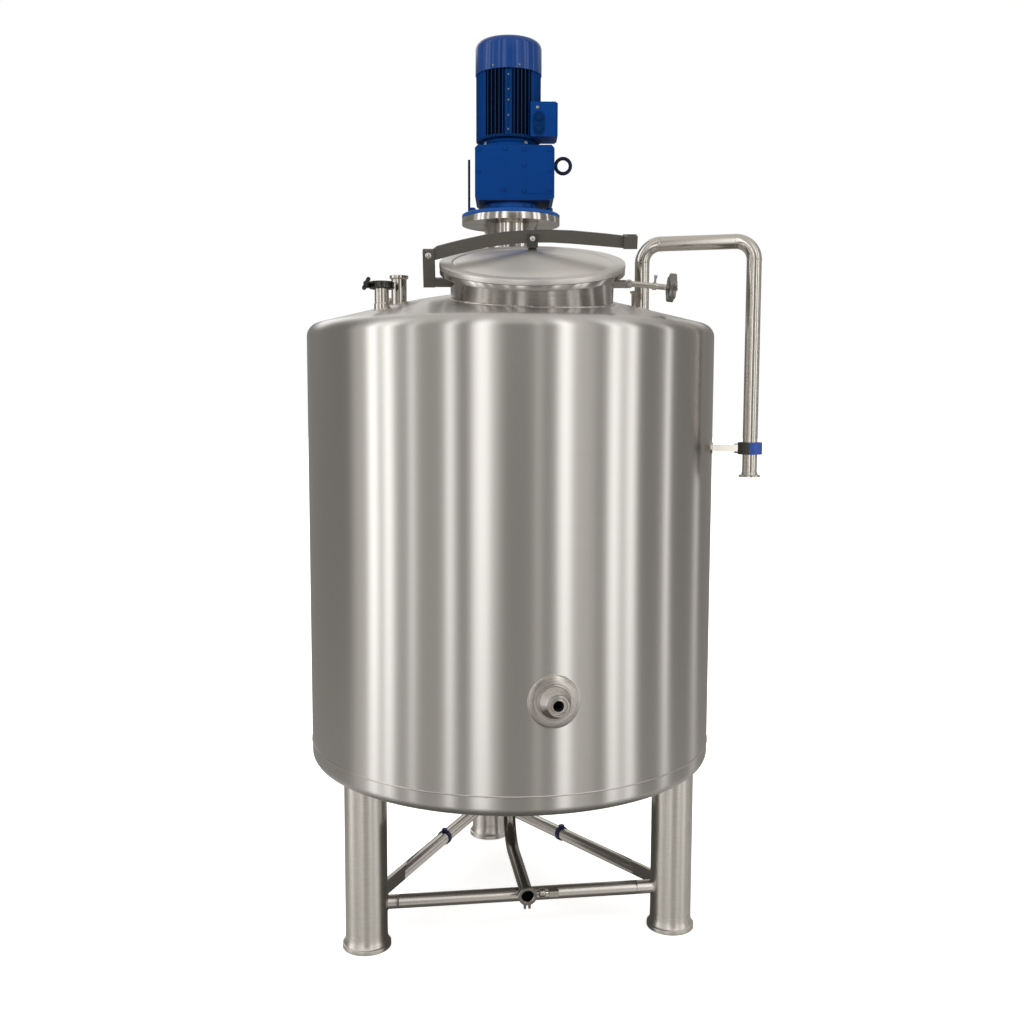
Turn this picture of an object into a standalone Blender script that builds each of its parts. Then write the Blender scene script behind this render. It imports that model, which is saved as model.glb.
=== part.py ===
"""Stirred tank reactor on three legs: metres, +Z up, front towards -Y, feet on z = 0."""
import math

import bmesh
import bpy
from mathutils import Matrix, Vector

# Whole vessel
R_TANK = 0.575
WALL = 0.050
PLATE = 0.008
Z_SEAM_LOW = 0.5160
Z_SEAM_TOP = 1.6550
GAP = 0.0003
SEG = 64
OFFSET_X = -0.0556
OFFSET_Y = 0.0180

# Top head: knuckle, cone and a flatter crown
TOP_TANGENT = 1.6593
TOP_KNUCKLE = 0.0362
TOP_SLOPE = math.radians(14.3)
TOP_CONE_R = 0.354

# Bottom head
BOT_TANGENT = 0.4860
BOT_KNUCKLE = 0.0260
BOT_SLOPE = math.radians(15.0)
BOT_CONE_R = 0.440

# Stand
LEG_AZ = (-52.0, 68.0, 188.0)
LEG_CIRCLE = 0.4934
LEG_R = 0.05715
LEG_FOOT_TOP = 0.0440
BRACE_Z = 0.1180
BRACE_R = 0.0190

# Manway, in its own frame: origin at the lid's rim, X right, Y back, Z out of the lid
MAN_AT = Vector((0.0556, -0.3000, 1.8411))
MAN_TILT = math.radians(17.2)
NECK_R = 0.2120
NECK_WALL = 0.0080
RIM_R = 0.2400
RIM_DEEP = 0.0135
BAND_LOW = -0.0270
PIVOT = (-0.2671, 0.0165)
SWING = (0.2520, -0.0560)
SWING_DROOP = math.radians(5.4)
WHEEL_AT = 0.1120

# Drive, standing a little behind the tank's axis
DRIVE_Y = 0.0600
GEAR_LEFT = -0.1010
GEAR_RIGHT = 0.1215
GEAR_LOW = 2.0443
GEAR_TOP = 2.1960
EYE_RING = 0.0212
EYE_BAR = 0.0052
EYE_Z = 2.1560
RING_LOW = 1.9870
RING_TOP = 2.0060
FLANGE_R = 0.1410
PEDESTAL_R = 0.0650
MOTOR_X = -0.0075
MOTOR_R = 0.0925

# Spray line
LINE_AZ = math.radians(75.0)
LINE_R_IN = 0.3760
LINE_R_OUT = 0.6790
LINE_Z = 1.9130
LINE_TUBE = 0.0200
LINE_BORE = 0.0170
LINE_BEND = 0.0500
LINE_END_Z = 1.2903
LINE_STUB = 0.0020

# Front port and outlet
PORT_AZ = math.radians(10.97)
PORT_Z = 0.7527
OUT_AZ = math.radians(8.3)
OUT_R = 0.0180
OUT_BORE = 0.0150

STEEL = ((0.56, 0.55, 0.53), 1.0, 0.32)
STEEL_SATIN = ((0.48, 0.47, 0.45), 1.0, 0.42)
STEEL_DARK = ((0.09, 0.095, 0.09), 0.7, 0.50)
BLUE = ((0.004, 0.035, 0.165), 0.1, 0.35)
BLUE_TRIM = ((0.02, 0.12, 0.62), 0.0, 0.45)


def clear_scene():
    for ob in list(bpy.data.objects):
        bpy.data.objects.remove(ob, do_unlink=True)


def make_material(name, look):
    colour, metallic, rough = look
    mat = bpy.data.materials.new(name)
    mat.use_nodes = True
    shader = mat.node_tree.nodes["Principled BSDF"]
    shader.inputs["Base Color"].default_value = (*colour, 1.0)
    shader.inputs["Metallic"].default_value = metallic
    shader.inputs["Roughness"].default_value = rough
    return mat


def finish(name, bm, look, mtx=None, smooth=True):
    """Make a named object from a bmesh, placed by its location and rotation."""
    bmesh.ops.recalc_face_normals(bm, faces=bm.faces)
    mesh = bpy.data.meshes.new(name)
    bm.to_mesh(mesh)
    bm.free()
    ob = bpy.data.objects.new(name, mesh)
    if mtx is not None:
        ob.matrix_basis = mtx
    bpy.context.scene.collection.objects.link(ob)
    if look is not None:
        mesh.materials.append(make_material(name, look))
    if smooth:
        mesh.shade_smooth()
        mesh.set_sharp_from_angle(angle=math.radians(32.0))
    return ob


def add_revolve(bm, profile, seg=SEG, closed=True, mtx=None):
    """Turn a profile of (radius, height) points about Z. Points on the axis become one vertex."""
    rings = []
    for r, z in profile:
        if r < 1e-7:
            rings.append([bm.verts.new((0.0, 0.0, z))])
        else:
            ring = []
            for k in range(seg):
                a = 2.0 * math.pi * k / seg
                ring.append(bm.verts.new((r * math.cos(a), r * math.sin(a), z)))
            rings.append(ring)
    pairs = list(zip(rings, rings[1:]))
    if closed:
        pairs.append((rings[-1], rings[0]))
    for low, high in pairs:
        if len(low) == 1 and len(high) == 1:
            continue
        for k in range(seg):
            n = (k + 1) % seg
            if len(low) == 1:
                bm.faces.new((low[0], high[n], high[k]))
            elif len(high) == 1:
                bm.faces.new((low[k], low[n], high[0]))
            else:
                bm.faces.new((low[k], low[n], high[n], high[k]))
    if mtx is not None:
        verts = [v for ring in rings for v in ring]
        bmesh.ops.transform(bm, matrix=mtx, verts=verts)


def revolve(name, profile, look, mtx=None, seg=SEG, closed=True):
    bm = bmesh.new()
    add_revolve(bm, profile, seg, closed)
    return finish(name, bm, look, mtx)


def add_prism(bm, outline, low, high, mtx=None):
    """Stand a flat outline up between two heights."""
    bottom = [bm.verts.new((x, y, low)) for x, y in outline]
    top = [bm.verts.new((x, y, high)) for x, y in outline]
    bm.faces.new(list(reversed(bottom)))
    bm.faces.new(top)
    count = len(outline)
    for k in range(count):
        n = (k + 1) % count
        bm.faces.new((bottom[k], bottom[n], top[n], top[k]))
    if mtx is not None:
        bmesh.ops.transform(bm, matrix=mtx, verts=bottom + top)


def add_box(bm, low, high, mtx=None):
    outline = [(low[0], low[1]), (high[0], low[1]), (high[0], high[1]), (low[0], high[1])]
    add_prism(bm, outline, low[2], high[2], mtx)


def bevelled_box(name, low, high, width, look, steps=3, mtx=None):
    bm = bmesh.new()
    add_box(bm, low, high)
    bmesh.ops.bevel(bm, geom=bm.edges[:], offset=width, segments=steps, profile=0.5, affect="EDGES")
    return finish(name, bm, look, mtx)


def rod_profile(radius, low, high, chamfer=0.0):
    if chamfer <= 0.0:
        return [(0.0, low), (radius, low), (radius, high), (0.0, high)]
    return [
        (0.0, low), (radius - chamfer, low), (radius, low + chamfer),
        (radius, high - chamfer), (radius - chamfer, high), (0.0, high),
    ]


def ring_profile(inner, outer, low, high):
    return [(inner, low), (outer, low), (outer, high), (inner, high)]


def add_rod(bm, start, end, radius, seg=24):
    """A round bar between two points."""
    a = Vector(start)
    b = Vector(end)
    turn = (b - a).to_track_quat("Z", "Y").to_matrix().to_4x4()
    mtx = Matrix.Translation(a) @ turn
    add_revolve(bm, rod_profile(radius, 0.0, (b - a).length), seg, False, mtx)


def add_sweep(bm, path, outer, inner, seg=32):
    """A hollow round tube along a path that lies in one upright plane."""
    points = [Vector(p) for p in path]
    side = None
    for a, b, c in zip(points, points[1:], points[2:]):
        cross = (b - a).cross(c - b)
        if cross.length > 1e-9:
            side = cross.normalized()
            break
    if side is None:
        side = (points[-1] - points[0]).orthogonal().normalized()
    shells = []
    for radius in (outer, inner):
        rings = []
        for k, p in enumerate(points):
            before = points[k] - points[k - 1] if k > 0 else points[1] - points[0]
            after = points[k + 1] - points[k] if k < len(points) - 1 else before
            tangent = (before.normalized() + after.normalized()).normalized()
            up = side.cross(tangent).normalized()
            stretch = 1.0 / max(0.2, tangent.dot(after.normalized()))
            ring = []
            for m in range(seg):
                t = 2.0 * math.pi * m / seg
                arm = side * math.cos(t) * radius + up * math.sin(t) * radius * stretch
                ring.append(bm.verts.new(p + arm))
            rings.append(ring)
        shells.append(rings)
    for rings in shells:
        for a, b in zip(rings, rings[1:]):
            for m in range(seg):
                n = (m + 1) % seg
                bm.faces.new((a[m], a[n], b[n], b[m]))
    for end in (0, -1):
        for m in range(seg):
            n = (m + 1) % seg
            out_ring = shells[0][end]
            in_ring = shells[1][end]
            bm.faces.new((out_ring[m], out_ring[n], in_ring[n], in_ring[m]))


def clear_profile(radius, low, high, seg):
    """A cutter's profile whose flats stay clear of a round bar of this radius."""
    return rod_profile((radius + GAP) / math.cos(math.pi / seg), low, high)


def cutter(name, bm, mtx=None):
    ob = finish(name, bm, None, mtx, smooth=False)
    ob.hide_render = True
    ob.display_type = "WIRE"
    return ob


def cut(ob, tool, number):
    mod = ob.modifiers.new("cut_%02d" % number, "BOOLEAN")
    mod.operation = "DIFFERENCE"
    mod.solver = "EXACT"
    mod.object = tool


def weld(ob, name, bm, number):
    """Join another solid that reaches into the object."""
    mod = ob.modifiers.new("weld_%02d" % number, "BOOLEAN")
    mod.operation = "UNION"
    mod.solver = "EXACT"
    mod.object = cutter("add_" + name, bm)


def arc(cx, cz, radius, start, end, steps):
    """Points of an arc in the (radius, height) plane, angles in degrees."""
    out = []
    for k in range(steps + 1):
        a = math.radians(start + (end - start) * k / steps)
        out.append((cx + radius * math.cos(a), cz + radius * math.sin(a)))
    return out


def head_profile(tangent, knuckle, slope, cone_r, lift, shrink=0.0, steps=3, rings=2):
    """Outside of a dished head from its rim to its middle. shrink moves it inwards."""
    deg = math.degrees(slope)
    points = arc(R_TANK - knuckle, 0.0, knuckle - shrink, 0.0, 90.0 - deg, steps)
    r_end = points[-1][0]
    z_end = points[-1][1]
    rise = math.tan(slope)
    z_cone = z_end + (r_end - cone_r) * rise
    points.append((cone_r, z_cone))
    for k in range(1, rings + 1):
        r = cone_r * (1.0 - k / rings)
        points.append((r, z_cone + rise * (cone_r ** 2 - r ** 2) / (2.0 * cone_r)))
    return [(r, tangent + lift * z) for r, z in points]


def polar(az, radius, z):
    """A point at an azimuth from the front towards the right."""
    return Vector((radius * math.sin(az), -radius * math.cos(az), z))


def radial_frame(az, radius, z):
    """A frame whose Z points away from the tank's axis and whose Y points up."""
    out = Vector((math.sin(az), -math.cos(az), 0.0))
    side = Vector((math.cos(az), math.sin(az), 0.0))
    mtx = Matrix.Identity(4)
    for row in range(3):
        mtx[row][0] = side[row]
        mtx[row][1] = (0.0, 0.0, 1.0)[row]
        mtx[row][2] = out[row]
    return Matrix.Translation(polar(az, radius, z)) @ mtx


MAN = Matrix.Translation(MAN_AT) @ Matrix.Rotation(MAN_TILT, 4, "X")
# Turns a flat outline drawn in (right, up) so that its thickness runs along Y
UPRIGHT = Matrix.Rotation(math.radians(90.0), 4, "X")
# Turns a flat outline drawn in (back, up) so that its thickness runs along X
ACROSS = Matrix.Rotation(math.radians(90.0), 4, "Z") @ UPRIGHT
DRIVE = Matrix.Translation((0.0, DRIVE_Y, 0.0))
MOTOR = Matrix.Translation((MOTOR_X, DRIVE_Y, 0.0))


def man_prism(bm, outline, half):
    """A plate in the manway's frame, outline in (right, up), with its middle at half."""
    add_prism(bm, outline, -half, half, MAN @ UPRIGHT)


def build_vessel():
    shell = revolve("shell", ring_profile(R_TANK - WALL, R_TANK, Z_SEAM_LOW, Z_SEAM_TOP), STEEL)
    outer = head_profile(TOP_TANGENT, TOP_KNUCKLE, TOP_SLOPE, TOP_CONE_R, 1.0)
    outer = [(R_TANK, Z_SEAM_TOP + GAP)] + outer
    inner = head_profile(TOP_TANGENT, TOP_KNUCKLE, TOP_SLOPE, TOP_CONE_R, 1.0, PLATE, 1, 1)
    inner = [(R_TANK - PLATE, Z_SEAM_TOP + GAP)] + inner
    top = revolve("top_head", outer + list(reversed(inner)), STEEL)

    low = head_profile(BOT_TANGENT, BOT_KNUCKLE, BOT_SLOPE, BOT_CONE_R, -1.0, 0.0)
    low = [(R_TANK, Z_SEAM_LOW - GAP)] + low
    low_in = head_profile(BOT_TANGENT, BOT_KNUCKLE, BOT_SLOPE, BOT_CONE_R, -1.0, PLATE, 1, 1)
    low_in = [(R_TANK - PLATE, Z_SEAM_LOW - GAP)] + low_in
    bottom = revolve("bottom_head", low + list(reversed(low_in)), STEEL)

    bead = [(R_TANK + GAP, Z_SEAM_LOW - 0.0035), (R_TANK + 0.0024, Z_SEAM_LOW - 0.0010)]
    bead += [(R_TANK + 0.0024, Z_SEAM_LOW + 0.0030), (R_TANK + GAP, Z_SEAM_LOW + 0.0055)]
    revolve("seam_weld", bead, STEEL)

    bm = bmesh.new()
    add_revolve(bm, clear_profile(OUT_R, 0.30, 0.45, 32), 32, False)
    cut(bottom, cutter("cut_outlet", bm), 1)

    bm = bmesh.new()
    add_revolve(bm, rod_profile(NECK_R + GAP, -0.25, -0.03), SEG, False, MAN)
    cut(top, cutter("cut_manway", bm), 1)
    holes = (
        ("pedestal", (0.0, DRIVE_Y), PEDESTAL_R),
        ("riser", polar(LINE_AZ, LINE_R_IN, 0.0)[:2], LINE_TUBE),
        ("port_tube", PORT_TUBE, 0.0205),
        ("port_clamp", PORT_CLAMP, 0.0200),
        ("port_plug", PORT_PLUG, 0.0070),
        ("port_rear", PORT_REAR, 0.0130),
    )
    for n, (name, at, radius) in enumerate(holes):
        bm = bmesh.new()
        place = Matrix.Translation((at[0], at[1], 0.0))
        add_revolve(bm, clear_profile(radius, 1.62, 1.85, 24), 24, False, place)
        cut(top, cutter("cut_" + name, bm), n + 2)

    bm = bmesh.new()
    frame = radial_frame(PORT_AZ, 0.0, PORT_Z)
    add_revolve(bm, clear_profile(0.0160, 0.45, 0.64, 32), 32, False, frame)
    hole = cutter("cut_port", bm)
    cut(shell, hole, 1)
    return hole


PORT_TUBE = (-0.2990, -0.2000)
PORT_CLAMP = (-0.3350, -0.2900)
PORT_PLUG = (-0.3300, -0.1500)
PORT_REAR = (0.3520, -0.0560)


def build_stand():
    profile = head_profile(BOT_TANGENT, BOT_KNUCKLE + 0.0004, BOT_SLOPE, BOT_CONE_R, -1.0, 0.0)
    profile = [(r + 0.0004, z - 0.0004) for r, z in profile]
    profile[-1] = (0.0, profile[-1][1])
    bm = bmesh.new()
    add_revolve(bm, [(0.0, 0.60), (R_TANK + 0.0004, 0.60)] + profile, SEG, False)
    head_tool = cutter("cut_under_head", bm)
    leg_tools = []
    places = []
    for k, az in enumerate(LEG_AZ):
        at = polar(math.radians(az), LEG_CIRCLE, 0.0)
        places.append(at)
        place = Matrix.Translation(at)
        bar = rod_profile(LEG_R, LEG_FOOT_TOP + GAP, 0.56)
        leg = revolve("leg_%d" % (k + 1), bar, STEEL_SATIN, place, 32, False)
        cut(leg, head_tool, 1)
        foot = [
            (0.0, 0.0), (0.0640, 0.0), (0.0660, 0.0020), (0.0660, 0.0115), (0.0645, 0.0130),
            (0.0622, 0.0140), (0.0600, 0.0175), (0.0583, 0.0240), (0.0575, 0.0340),
            (0.0574, LEG_FOOT_TOP), (0.0, LEG_FOOT_TOP),
        ]
        revolve("foot_%d" % (k + 1), foot, STEEL_SATIN, place, 24, False)
        bm = bmesh.new()
        add_revolve(bm, clear_profile(LEG_R, 0.05, 0.30, 40), 40, False, place)
        leg_tools.append(cutter("cut_leg_%d" % (k + 1), bm))
    for k in range(3):
        n = (k + 1) % 3
        a = places[k] + Vector((0.0, 0.0, BRACE_Z))
        b = places[n] + Vector((0.0, 0.0, BRACE_Z))
        bm = bmesh.new()
        add_rod(bm, a, b, BRACE_R, 24)
        brace = finish("brace_%d" % (k + 1), bm, STEEL_SATIN)
        cut(brace, leg_tools[k], 1)
        cut(brace, leg_tools[n], 2)
        if k > 0:
            mid = a + (b - a) * (0.555 if k == 1 else 0.42)
            turn = (b - a).to_track_quat("Z", "Y").to_matrix().to_4x4()
            tie = ring_profile(BRACE_R + GAP, BRACE_R + 0.0035, -0.008, 0.008)
            revolve("brace_tie_%d" % k, tie, BLUE_TRIM, Matrix.Translation(mid) @ turn, 20)


def build_manway():
    bm = bmesh.new()
    under = head_profile(TOP_TANGENT, TOP_KNUCKLE, TOP_SLOPE, TOP_CONE_R, 1.0)
    under = [(r, z - 0.030) for r, z in under]
    add_revolve(bm, [(0.0, 1.45), (R_TANK, 1.45)] + under, SEG, False)
    trim = cutter("cut_under_top", bm)
    neck_in = NECK_R - NECK_WALL
    neck = [
        (neck_in, -0.24), (NECK_R, -0.24), (NECK_R, BAND_LOW), (RIM_R - 0.0005, BAND_LOW),
        (RIM_R - 0.0005, -RIM_DEEP - GAP), (neck_in, -RIM_DEEP - GAP),
    ]
    cut(revolve("manway_neck", neck, STEEL, MAN), trim, 1)
    lid = [
        (0.0, 0.0310), (0.0150, 0.0310), (0.2000, 0.0005), (0.2040, -0.0020), (0.2080, 0.0),
        (RIM_R - 0.0015, 0.0), (RIM_R, -0.0015), (RIM_R, -RIM_DEEP), (0.2020, -RIM_DEEP),
        (0.1950, -0.0055), (0.0150, 0.0250), (0.0, 0.0250),
    ]
    revolve("manway_lid", lid, STEEL, MAN, SEG, False)

    # Fork and stub that join the lid to the arm
    bm = bmesh.new()
    u_shape = [
        (-0.0130, 0.0380), (0.0130, 0.0380), (0.0130, 0.0700), (0.0066, 0.0700),
        (0.0066, 0.0465), (-0.0066, 0.0465), (-0.0066, 0.0700), (-0.0130, 0.0700),
    ]
    add_prism(bm, u_shape, -0.0140, 0.0140, MAN @ ACROSS)
    clevis = finish("lid_clevis", bm, STEEL_DARK, smooth=False)
    stub = [(0.0, 0.0313), (0.0110, 0.0313), (0.0110, 0.0340), (0.0070, 0.0360), (0.0070, 0.0410)]
    stub += [(0.0, 0.0410)]
    bm = bmesh.new()
    add_revolve(bm, stub, 32, False, MAN)
    weld(clevis, "lid_stub", bm, 1)

    # Bowed arm over the lid
    top_line = [
        (-0.2450, 0.0395), (-0.2100, 0.0485), (-0.1797, 0.0558), (-0.1207, 0.0685), (-0.0621, 0.0762),
        (0.0, 0.0800), (0.0500, 0.0808), (0.1017, 0.0793), (0.1802, 0.0725), (0.2360, 0.0665),
    ]
    low_line = [
        (0.2360, 0.0360), (0.1700, 0.0415), (0.1000, 0.0470), (0.0500, 0.0497), (0.0, 0.0497),
        (-0.0500, 0.0462), (-0.1000, 0.0400), (-0.1500, 0.0300), (-0.2000, 0.0180), (-0.2450, 0.0060),
    ]
    round_end = arc(PIVOT[0], PIVOT[1], 0.0150, 300.0, 60.0, 10)
    bm = bmesh.new()
    man_prism(bm, top_line + low_line + round_end, 0.0060)
    arm = finish("lid_arm", bm, STEEL_DARK, smooth=False)
    bm = bmesh.new()
    slot = [
        (0.2330, -0.0165), (0.2680, -0.0165), (0.2680, -0.0085), (0.2430, -0.0085),
        (0.2430, 0.0085), (0.2680, 0.0085), (0.2680, 0.0165), (0.2330, 0.0165),
    ]
    add_prism(bm, slot, 0.0355, 0.0680, MAN)
    weld(arm, "arm_fork", bm, 1)
    bm = bmesh.new()
    add_revolve(bm, rod_profile(0.00605, -0.03, 0.03), 32, False, pin_frame(PIVOT))
    cut(arm, cutter("cut_arm_pivot", bm), 2)
    bm = bmesh.new()
    add_revolve(bm, clear_profile(0.0040, -0.03, 0.03, 24), 24, False, pin_frame((0.0, 0.0610)))
    bolt_hole = cutter("cut_arm_bolt", bm)
    cut(arm, bolt_hole, 3)
    cut(clevis, bolt_hole, 2)
    build_pin("clevis_bolt", (0.0, 0.0610), 0.0040, 0.0140, 0.0068, STEEL)

    # Hinge bracket: two cheeks and a foot on the neck
    bm = bmesh.new()
    bracket = [
        (-0.0120, 0.0), (0.0120, 0.0), (0.0120, 0.0955), (0.0066, 0.0955),
        (0.0066, 0.0230), (-0.0066, 0.0230), (-0.0066, 0.0955), (-0.0120, 0.0955),
    ]
    lift = Matrix.Translation((0.0, 0.0, -0.0650))
    add_prism(bm, bracket, -0.2820, -0.2520, MAN @ lift @ ACROSS)
    cheeks = finish("hinge_bracket", bm, STEEL_DARK, smooth=False)
    bm = bmesh.new()
    add_box(bm, (-0.2700, -0.0110, -0.0640), (-NECK_R - GAP, 0.0110, -0.0430), MAN)
    weld(cheeks, "bracket_foot", bm, 1)
    bm = bmesh.new()
    add_revolve(bm, clear_profile(0.0060, -0.03, 0.03, 32), 32, False, pin_frame(PIVOT))
    cut(cheeks, cutter("cut_bracket_pivot", bm), 2)
    build_pin("hinge_pin", PIVOT, 0.0060, 0.0124, 0.0085, STEEL)

    # Swing bolt on the right
    bm = bmesh.new()
    lug = [
        (NECK_R + GAP, -0.0140), (0.2640, -0.0140), (0.2640, -0.0090), (0.2220, -0.0090),
        (0.2220, 0.0090), (0.2640, 0.0090), (0.2640, 0.0140), (NECK_R + GAP, 0.0140),
    ]
    add_prism(bm, lug, -0.0650, -0.0490, MAN)
    ears = finish("swing_lug", bm, STEEL, smooth=False)
    bm = bmesh.new()
    add_revolve(bm, rod_profile(0.00405, -0.03, 0.03), 24, False, pin_frame(SWING))
    cut(ears, cutter("cut_lug_pin", bm), 1)
    along = swing_frame()
    bm = bmesh.new()
    eye = [
        (0.0, -0.0180), (0.0050, -0.0180), (0.0060, -0.0165), (0.0060, -0.0145), (0.0040, -0.0145),
        (0.0040, -0.0080), (0.0100, -0.0080), (0.0100, 0.0080), (0.0040, 0.0080),
        (0.0040, 0.0145), (0.0060, 0.0145), (0.0060, 0.0165), (0.0050, 0.0180), (0.0, 0.0180),
    ]
    add_revolve(bm, eye, 16, False, pin_frame(SWING))
    bolt = finish("swing_bolt", bm, STEEL)
    bm = bmesh.new()
    add_revolve(bm, rod_profile(0.0075, 0.0010, 0.1280, 0.0008), 16, False, along)
    weld(bolt, "swing_rod", bm, 1)
    bm = bmesh.new()
    add_revolve(bm, rod_profile(0.0100, 0.0620, 0.0720), 16, False, along)
    weld(bolt, "bolt_collar", bm, 2)
    bm = bmesh.new()
    lever = along @ Matrix.Translation((0.0030, 0.0, 0.0670)) @ Matrix.Rotation(math.radians(90.0), 4, "Y")
    knob = [(0.0, 0.0), (0.0028, 0.0), (0.0028, 0.0180), (0.0042, 0.0185), (0.0042, 0.0255), (0.0, 0.0262)]
    add_revolve(bm, knob, 10, False, lever)
    weld(bolt, "bolt_lever", bm, 3)
    build_hand_wheel(along)


def pin_frame(at):
    """A frame in the manway at (right, up) whose Z runs along Y."""
    return MAN @ Matrix.Translation((at[0], 0.0, at[1])) @ Matrix.Rotation(math.radians(-90.0), 4, "X")


def build_pin(name, at, radius, half, head_r, look):
    """A pin along Y with a domed head at each end."""
    top = half + 0.0045
    dome = [(head_r * 0.6, top), (head_r, half + 0.0020), (head_r, half + GAP), (radius, half + GAP)]
    profile = [(0.0, -top)] + [(r, -z) for r, z in dome] + list(reversed(dome)) + [(0.0, top)]
    revolve(name, profile, look, pin_frame(at), 12, False)


def swing_frame():
    """A frame on the swing bolt's pivot whose Z runs along the bolt and whose X points up."""
    turn = Matrix.Rotation(math.radians(90.0) + SWING_DROOP, 4, "Y")
    return MAN @ Matrix.Translation((SWING[0], 0.0, SWING[1])) @ turn @ Matrix.Rotation(math.pi, 4, "Z")


def build_hand_wheel(frame):
    outline = []
    lobes = 6
    steps = 36
    for k in range(steps):
        a = 2.0 * math.pi * k / steps
        outline.append((0.0345 + 0.0030 * math.cos(lobes * a), a))
    bm = bmesh.new()
    rings = []
    for inset, z in ((0.003, -0.0095), (0.0, -0.0070), (0.0, 0.0070), (0.003, 0.0095)):
        ring = []
        for r, a in outline:
            rim = r - inset
            ring.append(bm.verts.new((rim * math.cos(a), rim * math.sin(a), WHEEL_AT + z)))
        rings.append(ring)
    hub = []
    for z in (WHEEL_AT + 0.0095, WHEEL_AT - 0.0095):
        ring = []
        for r, a in outline:
            ring.append(bm.verts.new((0.0079 * math.cos(a), 0.0079 * math.sin(a), z)))
        hub.append(ring)
    rings += hub
    for k, ring in enumerate(rings):
        other = rings[(k + 1) % len(rings)]
        for m in range(steps):
            n = (m + 1) % steps
            bm.faces.new((ring[m], ring[n], other[n], other[m]))
    finish("hand_wheel", bm, STEEL_DARK, frame)


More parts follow.
